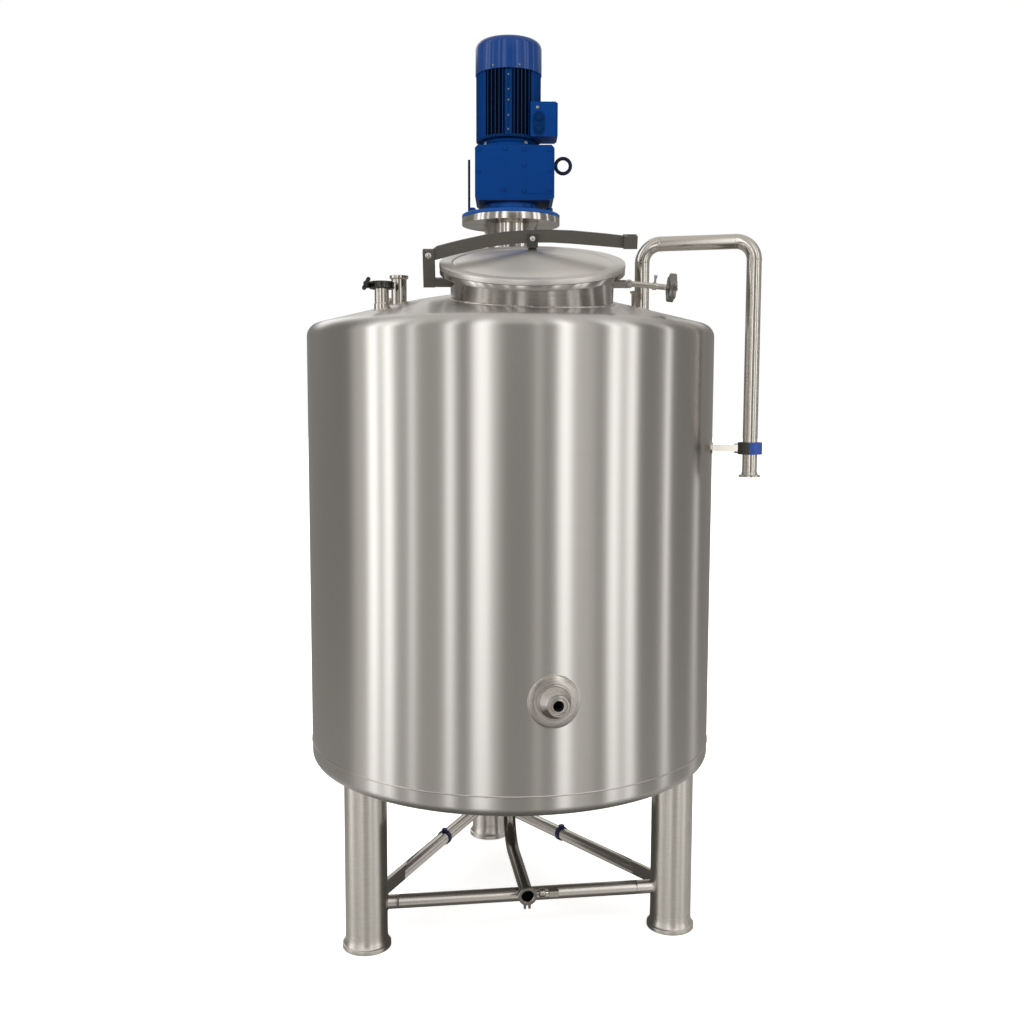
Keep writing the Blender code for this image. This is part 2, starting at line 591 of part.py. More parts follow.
def build_drive():
    tube_in = PEDESTAL_R - 0.008
    pedestal = [
        (tube_in, 1.7450), (PEDESTAL_R, 1.7450), (PEDESTAL_R, RING_LOW), (FLANGE_R - 0.001, RING_LOW),
        (FLANGE_R, RING_LOW + 0.001), (FLANGE_R, RING_TOP), (tube_in, RING_TOP),
    ]
    stand = revolve("drive_pedestal", pedestal, STEEL, DRIVE, 40)
    bm = bmesh.new()
    inner = PEDESTAL_R - 0.003
    web = [(inner, RING_LOW - 0.075), (inner, RING_LOW + 0.003)]
    web += [(0.1220, RING_LOW + 0.003), (0.1220, RING_LOW - 0.010)]
    for k in range(4):
        turn = Matrix.Rotation(math.radians(45.0 + 90.0 * k), 4, "Z")
        add_prism(bm, web, -0.0040, 0.0040, DRIVE @ turn @ UPRIGHT)
    weld(stand, "gussets", bm, 1)

    base = RING_TOP + GAP
    flange = [
        (0.0, base), (FLANGE_R, base), (FLANGE_R, base + 0.0080), (FLANGE_R - 0.002, base + 0.0100),
        (0.0900, base + 0.0110), (0.0800, base + 0.0170), (0.0767, base + 0.0220),
        (0.0767, GEAR_LOW - GAP), (0.0, GEAR_LOW - GAP),
    ]
    blue = revolve("drive_flange", flange, BLUE, DRIVE, 36, False)
    bm = bmesh.new()
    for k in range(8):
        a = math.radians(22.5 + 45.0 * k)
        at = (0.1190 * math.cos(a), DRIVE_Y + 0.1190 * math.sin(a), 0.0)
        place = Matrix.Translation(at)
        low = base + 0.0070
        bolt = [
            (0.0, low), (0.0105, low), (0.0105, low + 0.0130), (0.0095, low + 0.0140), (0.0060, low + 0.0140),
            (0.0060, low + 0.0260), (0.0, low + 0.0260),
        ]
        add_revolve(bm, bolt, 6, False, place)
    add_rod(bm, (-0.1205, DRIVE_Y, base + 0.0040), (-0.1205, DRIVE_Y, 2.1730), 0.0026, 16)
    weld(blue, "flange_bolts", bm, 1)

    bm = bmesh.new()
    half = 0.0900
    outline = [
        (GEAR_LEFT + 0.014, GEAR_LOW), (GEAR_RIGHT - 0.014, GEAR_LOW), (GEAR_RIGHT, GEAR_LOW + 0.010),
        (GEAR_RIGHT, GEAR_TOP - 0.008), (GEAR_RIGHT - 0.008, GEAR_TOP), (GEAR_LEFT + 0.008, GEAR_TOP),
        (GEAR_LEFT, GEAR_TOP - 0.008), (GEAR_LEFT, GEAR_LOW + 0.010),
    ]
    add_prism(bm, outline, -half, half, DRIVE @ UPRIGHT)
    edges = [e for e in bm.edges if abs((e.verts[0].co - e.verts[1].co).y) < 1e-6]
    bmesh.ops.bevel(bm, geom=edges, offset=0.006, segments=2, profile=0.5, affect="EDGES")
    finish("gearbox", bm, BLUE)

    adaptor = [
        (0.0, 2.1963), (0.0860, 2.1963), (0.0860, 2.2040), (0.0738, 2.2080), (0.0738, 2.2194), (0.0, 2.2194),
    ]
    revolve("motor_adaptor", adaptor, BLUE, MOTOR, 36, False)
    bm = bmesh.new()
    outline = []
    fins = 28
    for k in range(fins):
        a = 2.0 * math.pi * k / fins
        for step, r in ((0.0, 0.0790), (0.55, 0.0790), (0.62, MOTOR_R), (0.93, MOTOR_R)):
            b = a + 2.0 * math.pi / fins * step
            outline.append((r * math.cos(b), r * math.sin(b)))
    add_prism(bm, outline, 2.2197, 2.4042, MOTOR)
    finish("motor_body", bm, BLUE, smooth=False)
    cowl = [(0.0, 2.4045), (0.0940, 2.4045), (0.0944, 2.4060), (0.0944, 2.4760)]
    cowl += arc(0.0744, 2.4760, 0.0200, 18.0, 90.0, 4)
    cowl += [(0.0, 2.4985)]
    revolve("fan_cowl", cowl, BLUE, MOTOR, 36, False)
    box = bevelled_box("terminal_box", (0.0545, -0.0200, 2.2210), (0.1310, 0.0750, 2.3160), 0.005, BLUE, 2)
    bm = bmesh.new()
    add_revolve(bm, clear_profile(MOTOR_R, 2.10, 2.45, 64), 64, False, MOTOR)
    cut(box, cutter("cut_motor", bm), 1)

    # Ring with a short collar that sits on the gearbox
    centre_x = GEAR_RIGHT + EYE_RING + EYE_BAR + 0.0020
    place = Matrix.Translation((centre_x, DRIVE_Y, EYE_Z)) @ UPRIGHT
    eye = revolve("lifting_eye", arc(EYE_RING, 0.0, EYE_BAR, 0.0, 315.0, 7), STEEL_DARK, place, 20)
    bm = bmesh.new()
    add_rod(bm, (GEAR_RIGHT + GAP, DRIVE_Y, EYE_Z), (GEAR_RIGHT + 0.0070, DRIVE_Y, EYE_Z), 0.0085, 16)
    weld(eye, "eye_collar", bm, 1)


def build_agitator():
    bm = bmesh.new()
    add_rod(bm, (0.0, DRIVE_Y, 0.6200), (0.0, DRIVE_Y, RING_TOP), 0.0150, 32)
    shaft = finish("agitator", bm, STEEL)
    bm = bmesh.new()
    add_revolve(bm, rod_profile(0.0300, 0.6500, 0.7300, 0.002), 32, False, DRIVE)
    weld(shaft, "hub", bm, 1)
    bm = bmesh.new()
    for k in range(4):
        turn = Matrix.Rotation(math.radians(45.0 + 90.0 * k), 4, "Z")
        pitch = Matrix.Rotation(math.radians(45.0), 4, "X")
        place = DRIVE @ turn @ Matrix.Translation((0.0, 0.0, 0.6900)) @ pitch
        add_box(bm, (0.0220, -0.0320, -0.0030), (0.2000, 0.0320, 0.0030), place)
    weld(shaft, "blades", bm, 2)


def build_spray_line():
    out = polar(LINE_AZ, 1.0, 0.0)
    low = out * LINE_R_IN
    far = out * LINE_R_OUT
    top = LINE_Z - LINE_BEND

    def tube(name, path):
        bm = bmesh.new()
        add_sweep(bm, path, LINE_TUBE, LINE_BORE, 20)
        finish(name, bm, STEEL)

    def bend(centre_r, start, end):
        path = []
        for k in range(6):
            a = math.radians(start + (end - start) * k / 5.0)
            r = centre_r + LINE_BEND * math.cos(a)
            path.append(out * r + Vector((0.0, 0.0, top + LINE_BEND * math.sin(a))))
        upright = Vector((0.0, 0.0, -LINE_STUB))
        if start > 120.0:
            return [path[0] + upright] + path + [path[-1] + out * LINE_STUB]
        return [path[0] - out * LINE_STUB] + path + [path[-1] + upright]

    tube("spray_riser", [low + Vector((0, 0, 1.7020)), low + Vector((0, 0, top - LINE_STUB - GAP))])
    tube("spray_elbow_in", bend(LINE_R_IN + LINE_BEND, 180.0, 90.0))
    a = out * (LINE_R_IN + LINE_BEND + LINE_STUB + GAP) + Vector((0.0, 0.0, LINE_Z))
    b = out * (LINE_R_OUT - LINE_BEND - LINE_STUB - GAP) + Vector((0.0, 0.0, LINE_Z))
    tube("spray_run", [a, b])
    tube("spray_elbow_out", bend(LINE_R_OUT - LINE_BEND, 90.0, 0.0))
    place = Matrix.Translation(far)
    pipe = [
        (LINE_BORE, 1.2770), (0.0290, 1.2770), (0.0290, 1.2825), (0.0215, 1.2840), (0.0215, LINE_END_Z),
        (LINE_TUBE, LINE_END_Z), (LINE_TUBE, top - LINE_STUB - GAP), (LINE_BORE, top - LINE_STUB - GAP),
    ]
    revolve("spray_downpipe", pipe, STEEL, place, 20)

    # Bracket from the shell and a split clip, half steel and half plastic
    bm = bmesh.new()
    frame = radial_frame(LINE_AZ, 0.0, 1.3555)
    add_box(bm, (-0.0060, -0.0090, R_TANK + 0.0004), (0.0060, 0.0090, LINE_R_OUT - 0.0300), frame)
    arm = bm
    inner = LINE_TUBE + GAP
    for name, start, look in (("clip_steel", 91.0, STEEL), ("clip_plastic", -89.0, BLUE_TRIM)):
        outline = []
        for k in range(17):
            t = math.radians(start + 178.0 * k / 16.0)
            outline.append((0.0330 * math.cos(t), 0.0330 * math.sin(t)))
        for k in range(17):
            t = math.radians(start + 178.0 - 178.0 * k / 16.0)
            outline.append((inner * math.cos(t), inner * math.sin(t)))
        turn = Matrix.Rotation(LINE_AZ - math.radians(90.0), 4, "Z")
        bm = bmesh.new()
        add_prism(bm, outline, 1.3390, 1.3720, place @ turn)
        clip = finish(name, bm, look)
        if name == "clip_steel":
            weld(clip, "clip_arm", arm, 1)


def build_top_ports():
    place = Matrix.Translation((PORT_TUBE[0], PORT_TUBE[1], 0.0))
    tube = [
        (0.0170, 1.7150), (0.0205, 1.7150), (0.0205, 1.8050), (0.0250, 1.8080), (0.0250, 1.8155),
        (0.0170, 1.8155),
    ]
    revolve("port_tube", tube, STEEL, place, 24)
    place = Matrix.Translation((PORT_CLAMP[0], PORT_CLAMP[1], 0.0))
    neck = [
        (0.0, 1.7000), (0.0200, 1.7000), (0.0200, 1.7330), (0.0185, 1.7360), (0.0185, 1.7735),
        (0.0245, 1.7775), (0.0245, 1.7835), (0.0200, 1.7885), (0.0, 1.7905),
    ]
    revolve("port_capped", neck, STEEL, place, 24, False)
    band = [
        (0.0251, 1.7715), (0.0310, 1.7715), (0.0330, 1.7740), (0.0330, 1.7880), (0.0310, 1.7905),
        (0.0251, 1.7905),
    ]
    clamp = revolve("port_clamp", band, STEEL_DARK, place, 28)
    x, y = PORT_CLAMP
    bm = bmesh.new()
    add_box(bm, (x - 0.0440, y - 0.0110, 1.7745), (x - 0.0290, y + 0.0110, 1.7875))
    weld(clamp, "clamp_lug", bm, 1)
    bm = bmesh.new()
    add_rod(bm, (x - 0.0360, y - 0.0050, 1.7810), (x - 0.0360, y - 0.0340, 1.7810), 0.0035, 16)
    weld(clamp, "clamp_screw", bm, 2)
    bm = bmesh.new()
    add_box(bm, (x - 0.0465, y - 0.0380, 1.7700), (x - 0.0255, y - 0.0303, 1.8010))
    weld(clamp, "clamp_wing", bm, 3)
    place = Matrix.Translation((PORT_PLUG[0], PORT_PLUG[1], 0.0))
    plug = [(0.0, 1.7150), (0.0070, 1.7150), (0.0070, 1.7460)]
    plug += arc(0.0, 1.7525, 0.0095, -43.0, 90.0, 5)[:-1] + [(0.0, 1.7620)]
    revolve("port_plug", plug, STEEL, place, 16, False)
    place = Matrix.Translation((PORT_REAR[0], PORT_REAR[1], 0.0))
    rear = [(0.0, 1.7100), (0.0130, 1.7100), (0.0130, 1.7820), (0.0170, 1.7850)]
    rear += [(0.0170, 1.7900), (0.0, 1.7900)]
    revolve("port_rear", rear, STEEL, place, 20, False)


def build_front_port(hole):
    frame = radial_frame(PORT_AZ, 0.0, PORT_Z)
    pad = [
        (0.0, 0.5500), (0.0655, 0.5500), (0.0655, 0.5770), (0.0645, 0.5780), (0.0450, 0.5780),
        (0.0450, 0.5810), (0.0435, 0.5825), (0.0, 0.5825),
    ]
    ob = revolve("port_pad", pad, STEEL, frame, 36, False)
    bm = bmesh.new()
    add_revolve(bm, clear_profile(R_TANK, 0.60, 0.90, 128), 128, False)
    cut(ob, cutter("cut_shell_face", bm), 1)
    cut(ob, hole, 2)
    nozzle = [
        (0.0132, 0.5150), (0.0160, 0.5150), (0.0160, 0.5828), (0.0410, 0.5828), (0.0400, 0.5850),
        (0.0235, 0.5990), (0.0213, 0.6020), (0.0213, 0.6110), (0.0272, 0.6130), (0.0272, 0.6182),
        (0.0255, 0.6200), (0.0132, 0.6200),
    ]
    revolve("port_nozzle", nozzle, STEEL, frame, 28)


def build_outlet():
    out = polar(OUT_AZ, 1.0, 0.0)
    path = [Vector((0.0, 0.0, 0.3830)), Vector((0.0, 0.0, 0.2680))]
    centre_z = 0.2680
    radius = 0.0950
    for k in range(1, 7):
        a = math.radians(180.0 + 86.0 * k / 6.0)
        r = radius + radius * math.cos(a)
        path.append(out * r + Vector((0.0, 0.0, centre_z + radius * math.sin(a))))
    last = path[-1]
    fall = math.radians(4.0)
    direction = out * math.cos(fall) - Vector((0.0, 0.0, math.sin(fall)))
    reach = 0.3310 - (last.x ** 2 + last.y ** 2) ** 0.5
    path.append(last + direction * reach)
    bm = bmesh.new()
    add_sweep(bm, path, OUT_R, OUT_BORE, 20)
    finish("outlet_pipe", bm, STEEL)
    end = path[-1]
    turn = direction.to_track_quat("Z", "Y").to_matrix().to_4x4()
    frame = Matrix.Translation(end) @ turn
    clamp = [
        (OUT_BORE, GAP), (0.0225, GAP), (0.0252, 0.0030), (0.0252, 0.0150), (0.0240, 0.0175),
        (0.0180, 0.0175), (OUT_BORE, 0.0140),
    ]
    ring = revolve("outlet_clamp", clamp, STEEL_SATIN, frame, 28)
    bm = bmesh.new()
    for side in (-1.0, 1.0):
        low = (min(side * 0.0030, side * 0.0095), -0.0370, 0.0035)
        high = (max(side * 0.0030, side * 0.0095), -0.0230, 0.0125)
        add_box(bm, low, high, frame)
    weld(ring, "clamp_ears", bm, 1)
    across = frame @ Matrix.Rotation(math.radians(90.0), 4, "Y")
    knob = [
        (0.0, 0.0256), (0.0060, 0.0256), (0.0060, 0.0330), (0.0095, 0.0330), (0.0120, 0.0360), (0.0120, 0.0470), (0.0095, 0.0500),
        (0.0045, 0.0500), (0.0045, 0.0650), (0.0, 0.0650),
    ]
    lever = revolve("outlet_lever", knob, STEEL_DARK, across, 16, False)
    bm = bmesh.new()
    add_box(bm, (-0.0110, -0.0080, 0.0600), (0.0110, 0.0080, 0.0860), across)
    weld(lever, "lever_block", bm, 1)


def stand_for(name, mtx, parent):
    """An empty that carries the pieces that turn together."""
    empty = bpy.data.objects.new(name, None)
    bpy.context.scene.collection.objects.link(empty)
    empty.matrix_basis = mtx
    empty.parent = parent
    return empty


def carry(empty, mtx, names):
    for name in names:
        ob = bpy.data.objects[name]
        ob.parent = empty
        ob.matrix_parent_inverse = mtx.inverted()


def gather():
    """Hang every piece under one empty, and the moving ones under an empty on their axis."""
    pieces = list(bpy.data.objects)
    reactor = stand_for("reactor", Matrix.Translation((OFFSET_X, OFFSET_Y, 0.0)), None)
    for ob in pieces:
        ob.parent = reactor
    lid_axis = pin_frame(PIVOT)
    bolt_axis = pin_frame(SWING)
    wheel_axis = swing_frame() @ Matrix.Translation((0.0, 0.0, WHEEL_AT))
    lid = stand_for("lid_axis", lid_axis, reactor)
    carry(lid, lid_axis, ("manway_lid", "lid_clevis", "clevis_bolt", "lid_arm"))
    bolt = stand_for("bolt_axis", bolt_axis, reactor)
    carry(bolt, bolt_axis, ("swing_bolt",))
    wheel = stand_for("wheel_axis", wheel_axis, bolt)
    wheel.matrix_parent_inverse = bolt_axis.inverted()
    carry(wheel, wheel_axis, ("hand_wheel",))


def main():
    clear_scene()
    hole = build_vessel()
    build_stand()
    build_manway()
    build_drive()
    build_agitator()
    build_spray_line()
    build_top_ports()
    build_front_port(hole)
    build_outlet()
    gather()


main()
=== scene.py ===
"""Looks of the stirred tank reactor: metres, +Z up, front towards -Y, feet on z = 0."""
from math import acos, cos, degrees, hypot, pi, radians, sin, sqrt, tan

import bmesh
import bpy
from mathutils import Matrix, Vector


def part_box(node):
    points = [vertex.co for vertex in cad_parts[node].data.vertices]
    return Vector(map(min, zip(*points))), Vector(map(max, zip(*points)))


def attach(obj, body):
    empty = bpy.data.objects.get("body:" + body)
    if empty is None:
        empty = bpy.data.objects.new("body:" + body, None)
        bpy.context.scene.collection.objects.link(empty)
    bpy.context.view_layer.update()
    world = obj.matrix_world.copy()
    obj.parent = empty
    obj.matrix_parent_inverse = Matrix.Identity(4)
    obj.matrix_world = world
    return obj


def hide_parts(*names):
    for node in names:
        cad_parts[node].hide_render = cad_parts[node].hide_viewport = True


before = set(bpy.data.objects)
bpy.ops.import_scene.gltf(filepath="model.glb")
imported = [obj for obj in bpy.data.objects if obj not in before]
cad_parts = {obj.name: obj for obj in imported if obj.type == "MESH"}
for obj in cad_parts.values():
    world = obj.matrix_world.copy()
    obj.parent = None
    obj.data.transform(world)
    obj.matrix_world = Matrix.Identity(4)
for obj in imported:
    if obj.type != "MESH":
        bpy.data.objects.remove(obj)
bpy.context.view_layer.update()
SHELL_LOW, SHELL_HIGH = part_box("shell")

# Vessel, read from the frame. The tank's own frame has its axis at x = y = 0
AXIS = Vector(((SHELL_LOW.x + SHELL_HIGH.x) / 2.0, (SHELL_LOW.y + SHELL_HIGH.y) / 2.0, 0.0))
R_TANK = (SHELL_HIGH.x - SHELL_LOW.x) / 2.0
Z_SEAM_LOW = SHELL_LOW.z
Z_SEAM_TOP = SHELL_HIGH.z
WALL = 0.05
PLATE = 0.008
GAP = 0.0003

# A head: where its knuckle starts, the knuckle's radius, the cone's slope and inner radius, and its way up
TOP_HEAD = (Z_SEAM_TOP + 0.0043, 0.0362, radians(14.3), 0.354, 1.0)
BOT_HEAD = (Z_SEAM_LOW - 0.03, 0.026, radians(15.0), 0.44, -1.0)
Z_ROOF = 1.75

# Stand
LEG_AZ = (-52.0, 68.0, 188.0)
LEG_CIRCLE = 0.4934
LEG_R = 0.05715
LEG_FOOT_TOP = 0.044
BRACE_Z = 0.118
BRACE_R = 0.019

# Manway, in its own frame: origin at the lid's rim, X right, Y back, Z out of the lid
MAN_AT = Vector((0.0556, -0.3, 1.8411))
MAN_TILT = radians(17.2)
NECK_R = 0.212
NECK_WALL = 0.008
RIM_R = 0.24
RIM_DEEP = 0.0135
BAND_LOW = -0.027
PIVOT = (-0.2671, 0.0165)
SWING = (0.252, -0.056)
SWING_DROOP = radians(5.4)
WHEEL_AT = 0.112
ARM_HALF = 0.006

# Drive
DRIVE_Y = 0.06
RING_LOW = 1.987
RING_TOP = 2.006
FLANGE_R = 0.141
PEDESTAL_R = 0.065
MOTOR_X = -0.0075
MOTOR_R = 0.0925
MOTOR_CORE = 0.0868
MOTOR_LOW = 2.2197
MOTOR_HIGH = 2.4042
GEAR_LEFT = -0.101
GEAR_RIGHT = 0.1215
GEAR_HALF = 0.09
GEAR_LOW = 2.0443
GEAR_TOP = 2.196
EYE_R = 0.0212
EYE_WIRE = 0.0052
EYE_Z = 2.156

# Spray line
LINE_AZ = radians(75.0)
LINE_R_IN = 0.376
LINE_R_OUT = 0.679
LINE_Z = 1.913
LINE_TUBE = 0.02
LINE_BORE = 0.017
LINE_BEND = 0.05
LINE_END_Z = 1.2903
CLIP_LOW = 1.339
CLIP_HIGH = 1.372
CLIP_R = 0.0329
CLIP_Z = (CLIP_LOW + CLIP_HIGH) / 2.0

# Ports
PORT_TUBE = (-0.299, -0.2)
PORT_CLAMP = (-0.335, -0.29)
PORT_PLUG = (-0.33, -0.15)
PORT_REAR = (0.352, -0.056)
PORT_AZ = radians(10.97)
PORT_Z = 0.7527
OUT_AZ = radians(8.3)
OUT_R = 0.018
OUT_BORE = 0.015
OUT_BEND = 0.095
OUT_TOP = 0.268
OUT_FALL = radians(4.0)
OUT_REACH = 0.331

# Camera, found by fitting the tank's edges in the 1024 pixel picture
PICTURE = 1024.0
FOCAL = 1108.47
CENTRE = (510.124, 505.928)
CAM_AT = Vector((0.0, -3.21066, 1.48661))
CAM_PITCH = radians(5.48155)
CAM_ROLL = radians(0.14)
SENSOR = 36.0

# Lengths and radii under this count as none
TINY = 1e-6
# Edges flatter than this are drawn smooth, and those of a prism flatter than the next aren't rounded
SHARP_ANGLE = radians(33.0)
BEVEL_ANGLE = radians(28.0)
# A profile's corners become arcs of so many steps, but not where half the corner's angle is wider than this
CORNER_STEPS = 3
FLAT_HALF = radians(80.0)
# Ripples of the weld beads, drawn at twice the real pitch to show
BEAD_PITCH = 0.008
# Grain of brushed steel round an axis and of plain satin steel, in streaks per metre
RING_GRAIN = 320.0
EVEN_GRAIN = 600.0
STAINLESS, SATIN, DARK = "stainless_steel", "satin_steel", "dark_steel"
PAINTED, TRIM = "drive_paint", "plastic_trim"

move = Matrix.Translation


def spin(angle, axis="Z"):
    """A turn by degrees."""
    return Matrix.Rotation(radians(angle), 4, axis)


def up(z):
    return Vector((0.0, 0.0, z))


MAN = move(MAN_AT) @ Matrix.Rotation(MAN_TILT, 4, "X")
# Turns a flat outline drawn in (right, up) so that its thickness runs along Y
UPRIGHT = spin(90.0, "X")
# Turns a flat outline drawn in (back, up) so that its thickness runs along X
ACROSS = spin(90.0) @ UPRIGHT
DRIVE = move((0.0, DRIVE_Y, 0.0))
MOTOR = move((MOTOR_X, DRIVE_Y, 0.0))
HOME = move(AXIS)


def linear(code):
    """An sRGB hex colour as the linear colour that shaders take."""
    out = []
    for k in (0, 2, 4):
        v = int(code[k:k + 2], 16) / 255.0
        out.append(v / 12.92 if v <= 0.04045 else ((v + 0.055) / 1.055) ** 2.4)
    return (*out, 1.0)


def feed(tree, node, inputs):
    """Give a node its inputs, as values or links."""
    for key, value in inputs.items():
        if isinstance(value, bpy.types.NodeSocket):
            tree.links.new(value, node.inputs[key])
        else:
            node.inputs[key].default_value = value


def add(tree, kind, inputs=None, **settings):
    """Add a node with its settings and inputs."""
    made = tree.nodes.new(kind)
    for key, value in settings.items():
        setattr(made, key, value)
    feed(tree, made, inputs or {})
    return made


def maths(tree, operation, *values):
    return add(tree, "ShaderNodeMath", dict(enumerate(values)), operation=operation).outputs[0]


def vectors(tree, operation, *values):
    made = add(tree, "ShaderNodeVectorMath", dict(enumerate(values)), operation=operation)
    return made.outputs["Value" if operation in ("DOT_PRODUCT", "LENGTH") else "Vector"]


def scaled(tree, vector, factor):
    return add(tree, "ShaderNodeVectorMath", {0: vector, "Scale": factor}, operation="SCALE").outputs[0]


def xyz(tree, x=0.0, y=0.0, z=0.0):
    return add(tree, "ShaderNodeCombineXYZ", {"X": x, "Y": y, "Z": z}).outputs[0]


def mix(tree, share, low, high):
    return add(tree, "ShaderNodeMix", {0: share, 2: low, 3: high}, data_type="FLOAT").outputs[0]


def tones(tree, share, light, dark):
    """A colour between two hex colours."""
    ends = {0: share, 6: linear(light), 7: linear(dark)}
    return add(tree, "ShaderNodeMix", ends, data_type="RGBA").outputs[2]


def ramp(tree, value, start, end, low=0.0, high=1.0, kind="SMOOTHSTEP"):
    """Spread the stretch from start to end over low to high."""
    ends = {"Value": value, "From Min": start, "From Max": end, "To Min": low, "To Max": high}
    return add(tree, "ShaderNodeMapRange", ends, interpolation_type=kind).outputs[0]


def noise(tree, place, scale, detail=2.0):
    return add(tree, "ShaderNodeTexNoise", {"Vector": place, "Scale": scale, "Detail": detail}).outputs["Fac"]


def bump(tree, height, strength, distance):
    inputs = {"Height": height, "Strength": strength, "Distance": distance}
    return add(tree, "ShaderNodeBump", inputs).outputs[0]


def start_material(name):
    """A material, its tree, its shader and the place in the object that its textures read."""
    mat = bpy.data.materials.new(name)
    mat.use_nodes = True
    tree = mat.node_tree
    return mat, tree, tree.nodes["Principled BSDF"], add(tree, "ShaderNodeTexCoord").outputs["Object"]


def brushed_steel(name, light, dark, rough, spread=0.0, centre=None, axis=(0.0, 0.0, 1.0)):
    """Stainless steel brushed round an axis: fine rings of grain, with the light drawn out across them.

    centre is a point on the axis. Without one the steel is plain satin, with even grain.
    """
    mat, tree, shader, place = start_material(name)
    if centre is None:
        grain = scaled(tree, place, EVEN_GRAIN)
    else:
        arm = vectors(tree, "SUBTRACT", place, tuple(centre))
        around = vectors(tree, "CROSS_PRODUCT", tuple(axis), arm)
        along = vectors(tree, "DOT_PRODUCT", tuple(axis), arm)
        turn = vectors(tree, "NORMALIZE", around)
        world = add(
            tree, "ShaderNodeVectorTransform", {0: turn},
            vector_type="VECTOR", convert_from="OBJECT", convert_to="WORLD",
        )
        # Grain runs round the axis: it changes fast along and across it and slowly with the angle
        fast = scaled(tree, xyz(tree, along, vectors(tree, "LENGTH", around)), RING_GRAIN)
        grain = vectors(tree, "ADD", scaled(tree, turn, 1.6), fast)
        # The light is drawn out across the grain, a quarter turn from it
        feed(tree, shader, {"Tangent": world.outputs[0], "Anisotropic": spread, "Anisotropic Rotation": 0.25})
    tone = tones(tree, noise(tree, grain, 1.0), light, dark)
    feed(tree, shader, {"Base Color": tone, "Roughness": rough, "Metallic": 1.0})
    return mat


def cast_paint(name, colour, deep, rough, coat, gloss=0.5):
    """Semi-gloss enamel on cast iron and aluminium: a little orange peel and a tone that drifts from place to
    place.
    """
    mat, tree, shader, place = start_material(name)
    # Casting skin under the paint, about 4 mm from dip to dip
    skin_noise = noise(tree, place, 240.0)
    feed(tree, shader, {
        "Base Color": tones(tree, noise(tree, place, 12.0), colour, deep),
        "Roughness": ramp(tree, skin_noise, 0.0, 1.0, rough - 0.05, rough + 0.07, "LINEAR"),
        "Normal": bump(tree, skin_noise, 0.12, 0.0006),
        "Specular IOR Level": gloss, "Coat Weight": coat, "Coat Roughness": 0.09,
    })
    return mat


def brushed_bar(name, light, dark, rough, metallic):
    """Dull flat bar ground along its length: long streaks along X."""
    mat, tree, shader, place = start_material(name)
    # Streaks are about 0.7 mm apart and some 60 mm long
    streaks = add(tree, "ShaderNodeMapping", {"Vector": place, "Scale": (16.0, 900.0, 1400.0)}).outputs[0]
    streak = noise(tree, streaks, 1.0, 3.0)
    feed(tree, shader, {
        "Base Color": tones(tree, streak, light, dark), "Normal": bump(tree, streak, 0.1, 0.0003),
        "Metallic": metallic, "Roughness": rough,
    })
    return mat


def moulded_plastic(name, colour, rough, gloss=0.5):
    """Injection moulded nylon: even colour with a fine matt skin."""
    mat, tree, shader, place = start_material(name)
    feed(tree, shader, {
        "Base Color": linear(colour), "Normal": bump(tree, noise(tree, place, 900.0, 1.0), 0.08, 0.0003),
        "Roughness": rough, "Specular IOR Level": gloss,
    })
    return mat


def weld_metal(name, light, dark, rough):
    """Unground weld metal: bright beads with a little straw and grey in the dips."""
    mat, tree, shader, place = start_material(name)
    tone = tones(tree, noise(tree, place, 380.0), light, dark)
    feed(tree, shader, {"Base Color": tone, "Metallic": 1.0, "Roughness": rough})
    return mat


def studio_matt(name, light, dark, scale, detail, rough, shine, glow, glow_level):
    """The studio's floor and cards, with a faint glow of their own."""
    mat, tree, shader, place = start_material(name)
    feed(tree, shader, {
        "Base Color": tones(tree, noise(tree, place, scale, detail), light, dark), "Roughness": rough,
        "Specular IOR Level": shine, "Emission Color": linear(glow), "Emission Strength": glow_level,
    })
    return mat


LID_AXIS = MAN.to_3x3() @ up(1.0)
DRIVE_AXIS = AXIS + Vector((0.0, DRIVE_Y, 0.0))
SHELL_STEEL = brushed_steel("brushed_stainless_shell", "CBC8C4", "C7C4BF", 0.27, 0.95, AXIS)
LID_STEEL = brushed_steel("turned_stainless_lid", "EAE7E1", "DBD8D2", 0.42, 0.45, MAN_AT + AXIS, LID_AXIS)
NECK_STEEL = brushed_steel("rolled_stainless_neck", "C4C1BC", "A9A6A1", 0.2, 0.7, MAN_AT + AXIS, LID_AXIS)
TUBE_STEEL = brushed_steel("polished_stainless_tube", "CFCAC2", "C4BFB7", 0.15)
BOLT_STEEL = brushed_bar("zinc_plated_screw", "8C8B88", "73726F", 0.35, 0.9)
RING_STEEL = brushed_steel("turned_stainless_ring", "CFCAC3", "AAA59E", 0.24, 0.8, DRIVE_AXIS)
PAINT = cast_paint("blue_enamel_on_casting", "00306C", "002A5F", 0.42, 0.0, 0.07)
PAINT_SHEET = cast_paint("blue_enamel_on_sheet", "00306C", "00285A", 0.34, 0.6, 0.1)
PAINT_DIM = cast_paint("blue_enamel_in_shade", "00244F", "001F44", 0.45, 0.0, 0.05)
# A lighter copy of the blue enamel: painted light on the drive's flange
PAINT_LIT_FLANGE = cast_paint("blue_enamel_lit_flange", "0A4488", "063A78", 0.4, 0.0, 0.2)
BLACKED = cast_paint("black_oxide_fasteners", "0D1014", "08090C", 0.45, 0.0)
CLAMP_STEEL = brushed_bar("dark_polished_clamp", "55534F", "3C3A37", 0.22, 0.95)
ARM_STEEL = brushed_bar("ground_flat_bar", "67645E", "504E48", 0.46, 0.75)
WHEEL_STEEL = brushed_bar("turned_hand_wheel", "8F8C87", "6A6863", 0.3, 0.9)
DULL_STEEL = brushed_bar("dull_flat_bar", "4A4945", "393834", 0.5, 0.6)
GUSSET_STEEL = brushed_bar("satin_flat_gusset", "A19E98", "8B8882", 0.38, 0.85)
BRACE_STEEL = brushed_steel("satin_stainless_brace", "E9E5DF", "DEDAD3", 0.22)
